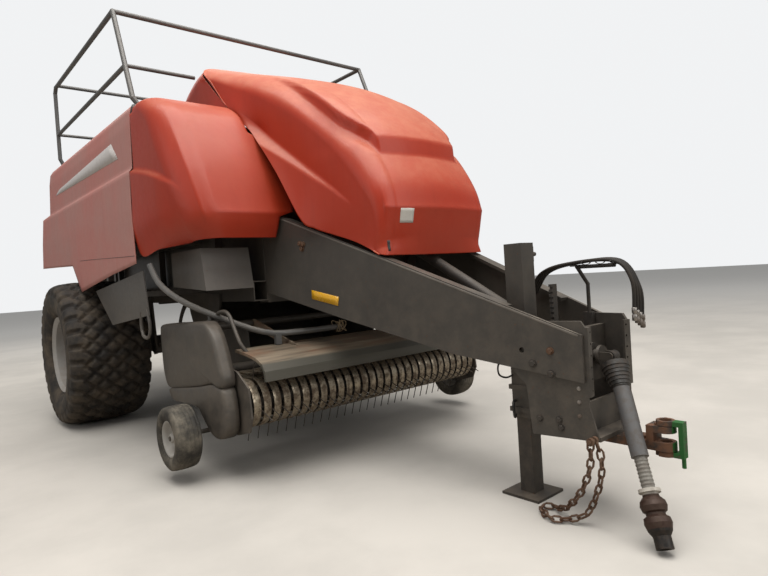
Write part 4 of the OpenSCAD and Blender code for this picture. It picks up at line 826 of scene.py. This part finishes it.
def nuts_round(side, centre, count, radius, size):
    """Bolts at even angles round a wheel's centre."""
    return [bolt(np.add(centre, (0, radius * np.sin(a), radius * np.cos(a))), (side, 0, 0), size)
            for a in np.arange(count) / count * tau]


def gauge_wheels():
    """Gauge wheels on a dished disc with a hub. Across the tread, x from -1 to 1, the radius falls by 6 mm
    times |x|^3, and by 3.5 mm in the grooves between its ribs, where |cos(2.5 pi x)| is above 0.86."""
    r, half = 0.203, 0.0825
    x = np.linspace(-1, 1, 49)
    grooves = (np.abs(np.cos(x * 2.5 * np.pi)) > 0.86) * (np.abs(x) < 0.9)
    tread = np.stack([x * (half - 0.014), r - 0.0035 * grooves - 0.006 * np.abs(x) ** 3], -1)
    wall = np.array([[half - 0.006, r - 0.018], [half - 0.001, r - 0.035], [half, r - 0.055],
                     [half - 0.006, r - 0.075], [half - 0.016, r - 0.088]])
    bead = [[half - 0.03, r - 0.088], [-half + 0.03, r - 0.088]]
    section = np.concatenate([tread, wall, bead, wall[::-1] * [-1, 1]])
    disc = np.array([[0.060, 0.117], [0.066, 0.117], [0.064, 0.106], [0.040, 0.098], [0.012, 0.088],
                     [0.006, 0.070], [0.010, 0.050], [0.014, 0.034], [0.050, 0.030], [0.056, 0.024],
                     [0.056, 0.016], [-0.050, 0.016], [-0.050, 0.030], [0.000, 0.034], [0.002, 0.088],
                     [-0.040, 0.098], [-0.060, 0.117]])
    for side, name in SIDES:
        body, axle, centre = "gauge_" + name, (side, 0, 0), (side * 1.2875, -1.130, 0.285)
        turned("gauge_tyre_" + name, rings_about(section, centre, axle, 72).swapaxes(0, 1), gauge_rubber,
               body, ["gauge_wheel_" + name])
        turned("gauge_disc_" + name, rings_about(disc, centre, axle, 48).swapaxes(0, 1), wheel_steel, body)
        nuts = nuts_round(side, (side * 1.2955, -1.130, 0.285), 5, 0.060, 0.007)
        solid("gauge_nuts_" + name, nuts, bright_steel, body, False)


gauge_wheels()
for side, name in SIDES:
    nuts = nuts_round(side, (side * 1.0462, *TYRE_CENTRE[1:]), 10, 0.137, 0.016)
    solid("wheel_nuts_" + name, nuts, bright_steel, "wheel_" + name, False)

# The first hose's run in mm, and how far each next hose lies aside at each point
HOSE_RUN = [[400, -1190, 1135], [395, -1500, 1110], [360, -2000, 1010], [290, -2450, 985],
            [200, -2750, 1040], [130, -2920, 1180], [100, -3120, 1225.3], [98, -3360, 1225.3],
            [96, -3445, 1130], [98, -3450, 990]]
HOSE_ASIDE = [22] * 8 + [27] * 2
COUPLING = [[0.004, 0.0095], [0.002, 0.0125], [-0.022, 0.0125], [-0.024, 0.010], [-0.032, 0.010],
            [-0.034, 0.0125], [-0.060, 0.0125], [-0.062, 0.0085]]


def hoses():
    """Four hoses from the machine over the arm to their couplings, each a tube along its smoothed run."""
    for k in range(4):
        aside = np.zeros((10, 3))
        aside[:, 0] = np.array(HOSE_ASIDE) * k
        aside[8:, 2] = -14 * k
        path = curve((np.array(HOSE_RUN) + aside) / 1000, 81)
        hose = piece("hose_%d" % k, *closed(tube(path, 0.009, 12), True), hose_rubber, "root",
                     stands_for=["hoses"] if k == 0 else [])
        coupling = solid("coupling_%d" % k, [rings_about(COUPLING, path[-1], (0, 0, 1), 16)], bright_steel,
                         "root")


hoses()


def hose_ties():
    """Ties round the hoses on their arm: a flat ellipse with a thin oval section."""
    t = np.linspace(0, tau, 40, endpoint=False)
    u = np.linspace(0, tau, 8, endpoint=False)[None, :, None]
    wide, high = 0.0445, 0.0105
    for k, y in enumerate((-3.19, -3.27, -3.345)):
        path = np.stack([0.1325 + wide * np.cos(t), y + 0 * t, 1.2253 + high * np.sin(t)], -1)[:, None]
        away = np.stack([np.cos(t) / wide, 0 * t, np.sin(t) / high], -1)
        away = (away / np.linalg.norm(away, axis=1, keepdims=True))[:, None]
        ring = path + 0.0012 * np.cos(u) * away + 0.0045 * np.sin(u) * np.array([0, 1.0, 0])
        turned("hose_tie_%d" % k, ring, black, "root")


def jack_trim():
    """The jack's hook and ring, as smoothed round wires, and the toothed bar beside it, whose depth
    changes by 10 mm from tooth to tooth."""
    hook = [[-0.103, -2.865, 0.505], [-0.135, -2.880, 0.507], [-0.152, -2.890, 0.490],
            [-0.153, -2.893, 0.445], [-0.140, -2.888, 0.428], [-0.124, -2.880, 0.440]]
    solid("jack_hook", [tube(hook, 0.0075, 10, 30)], black, "root")
    ring = [[-0.104, -2.860, 0.735], [-0.150, -2.845, 0.745], [-0.185, -2.830, 0.705],
            [-0.180, -2.830, 0.655], [-0.140, -2.845, 0.635], [-0.104, -2.860, 0.645]]
    solid("jack_ring", [tube(ring, 0.005, 10, 36)], black, "root")
    z = np.repeat(np.linspace(0.460, 1.125, 52), 2)[1:-1]
    depth = 0.010 * np.repeat(np.arange(51) % 2, 2)
    corners = [(depth - 0.060, -3.102), (0 * depth - 0.012, -3.102), (0 * depth - 0.012, -3.084),
               (depth - 0.060, -3.084)]
    rack = np.stack([np.stack([x, y + 0 * z, z], -1) for x, y in corners], 1)
    solid("jack_rack", [rack], steel, "root", False)


def pickup_trim():
    """The windguard's handle, a smoothed round bar, and the knot of twine on the lift pipe: one closed
    curve with x, y, z as 0.9 cos 5a, sin(7a + 1) and sin 8a, all times 0.75 + 0.25 sin 11a."""
    handle = [[-0.936, -1.450, 0.790], [-0.968, -1.420, 0.858], [-0.972, -1.360, 0.952],
              [-0.971, -1.310, 1.022], [-0.978, -1.262, 1.055], [-0.988, -1.195, 1.050],
              [-0.996, -1.125, 1.018], [-1.015, -1.070, 0.990], [-1.050, -1.040, 0.955]]
    solid("windguard_handle", [tube(handle, 0.013, 12, 48)], grey, "pickup")
    a = np.linspace(0, tau, 480, endpoint=False)
    wound = np.stack([0.9 * np.cos(5 * a), np.sin(7 * a + 1), np.sin(8 * a)], -1)
    wound = wound * (0.75 + 0.25 * np.sin(11 * a))[:, None]
    twine = np.array([-0.196, -1.435, 0.886]) + 0.042 * wound
    rings = tube(np.concatenate([twine[-2:], twine, twine[:2]]), 0.0028, 6)[2:-2]
    turned("twine_knot", rings, straw, "pickup")


def panel_trim():
    """The seals in front of the gull panels, a band between a smoothed outline and the same moved inwards,
    and the seam of the panels' lower flap."""
    outline = np.array([[1.150, 2.539], [1.243, 2.538], [1.262, 2.520], [1.274, 2.470], [1.277, 2.400],
                        [1.281, 2.200]])
    inner = outline - np.array([0.0, 0.055]) - np.array([0.055, 0.0]) * np.linspace(0, 1, 6)[:, None]
    for side, name in SIDES:
        rows = [np.stack([side * line[:, 0], 0 * line[:, 0] - 0.6105, line[:, 1]], -1)
                for line in (curve(outline, 30), curve(inner, 30))]
        panel("panel_seal_" + name, np.array(rows), black, "root", 0.004, centre=(0, 0.5, 2.3))
        seam = np.array([[side * 1.3094, 0.93, 1.5325], [side * 1.3085, 0.3, 1.510],
                         [side * 1.3075, -0.3, 1.485], [side * 1.3072, -0.585, 1.4745]])
        solid("flap_seam_" + name, [tube(seam, 0.0016, 6, 20)], black, "panel_" + name)


hose_ties()
jack_trim()
pickup_trim()
panel_trim()


# Light and floor
def studio():
    """A floor that the camera sees as pale ground and that is darker to the light, a soft sky, and four
    lamps."""
    world = bpy.data.worlds.new("studio")
    scene.world = world
    world.use_nodes = True
    nodes, links = world.node_tree.nodes, world.node_tree.links
    sky = nodes["Background"]
    sky.inputs["Color"].default_value = (0.85, 0.85, 0.84, 1)
    sky.inputs["Strength"].default_value = 0.33
    seen = nodes.new("ShaderNodeBackground")
    seen.inputs["Color"].default_value = (0.88, 0.89, 0.90, 1)
    seen.inputs["Strength"].default_value = 1.0
    path, pick = nodes.new("ShaderNodeLightPath"), nodes.new("ShaderNodeMixShader")
    either = nodes.new("ShaderNodeMath")
    either.operation = "MAXIMUM"
    links.new(path.outputs["Is Camera Ray"], either.inputs[0])
    links.new(path.outputs["Is Transmission Ray"], either.inputs[1])
    links.new(either.outputs[0], pick.inputs[0])
    links.new(sky.outputs[0], pick.inputs[1])
    links.new(seen.outputs[0], pick.inputs[2])
    links.new(pick.outputs[0], nodes["World Output"].inputs[0])
    for name, place, size, power, aim in (
            ("key_lamp", (-1, -3, 12), 12, 2000, (0, -0.5, 0)),
            ("front_lamp", (2, -13, 6), 8, 330, (0, -1, 1)),
            ("side_lamp", (-11, 0, 5), 7, 120, (0, 0, 1.5)),
            ("back_lamp", (3, 10, 8), 7, 250, (0, 0, 1))):
        data = bpy.data.lights.new(name, "AREA")
        data.size, data.energy = size, power
        data.color = (1.0, 0.965, 0.91)
        lamp = bpy.data.objects.new(name, data)
        scene.collection.objects.link(lamp)
        back = unit(np.subtract(place, aim))
        side = unit(np.cross((0, 0, 1), back))
        lamp.matrix_world = Matrix.Translation(place) @ Matrix(
            np.column_stack([side, np.cross(back, side), back]).tolist()).to_4x4()
    mesh = bpy.data.meshes.new("floor")
    mesh.from_pydata([(-60, -60, 0), (60, -60, 0), (60, 60, 0), (-60, 60, 0)], [], [(0, 1, 2, 3)])
    floor = bpy.data.objects.new("floor", mesh)
    scene.collection.objects.link(floor)
    f = Finish("pale_ground", Roughness=0.95)
    ground = f.mix(f.between(f.noise(0.8, 6), 0.35, 0.65), (0.60, 0.575, 0.54), (0.52, 0.50, 0.47))
    distance = f.number("ShaderNodeVectorMath", {"operation": "LENGTH"}, {0: f.place}, 1)
    ground = f.mix(f.between(distance, 5, 22), ground, (0.99, 0.98, 0.96))
    by_camera = f.number("ShaderNodeLightPath")
    f.to("Base Color", f.mix(by_camera, (0.30, 0.27, 0.23), ground))
    mesh.materials.append(f.material)


studio()

scene.view_settings.view_transform = "Standard"
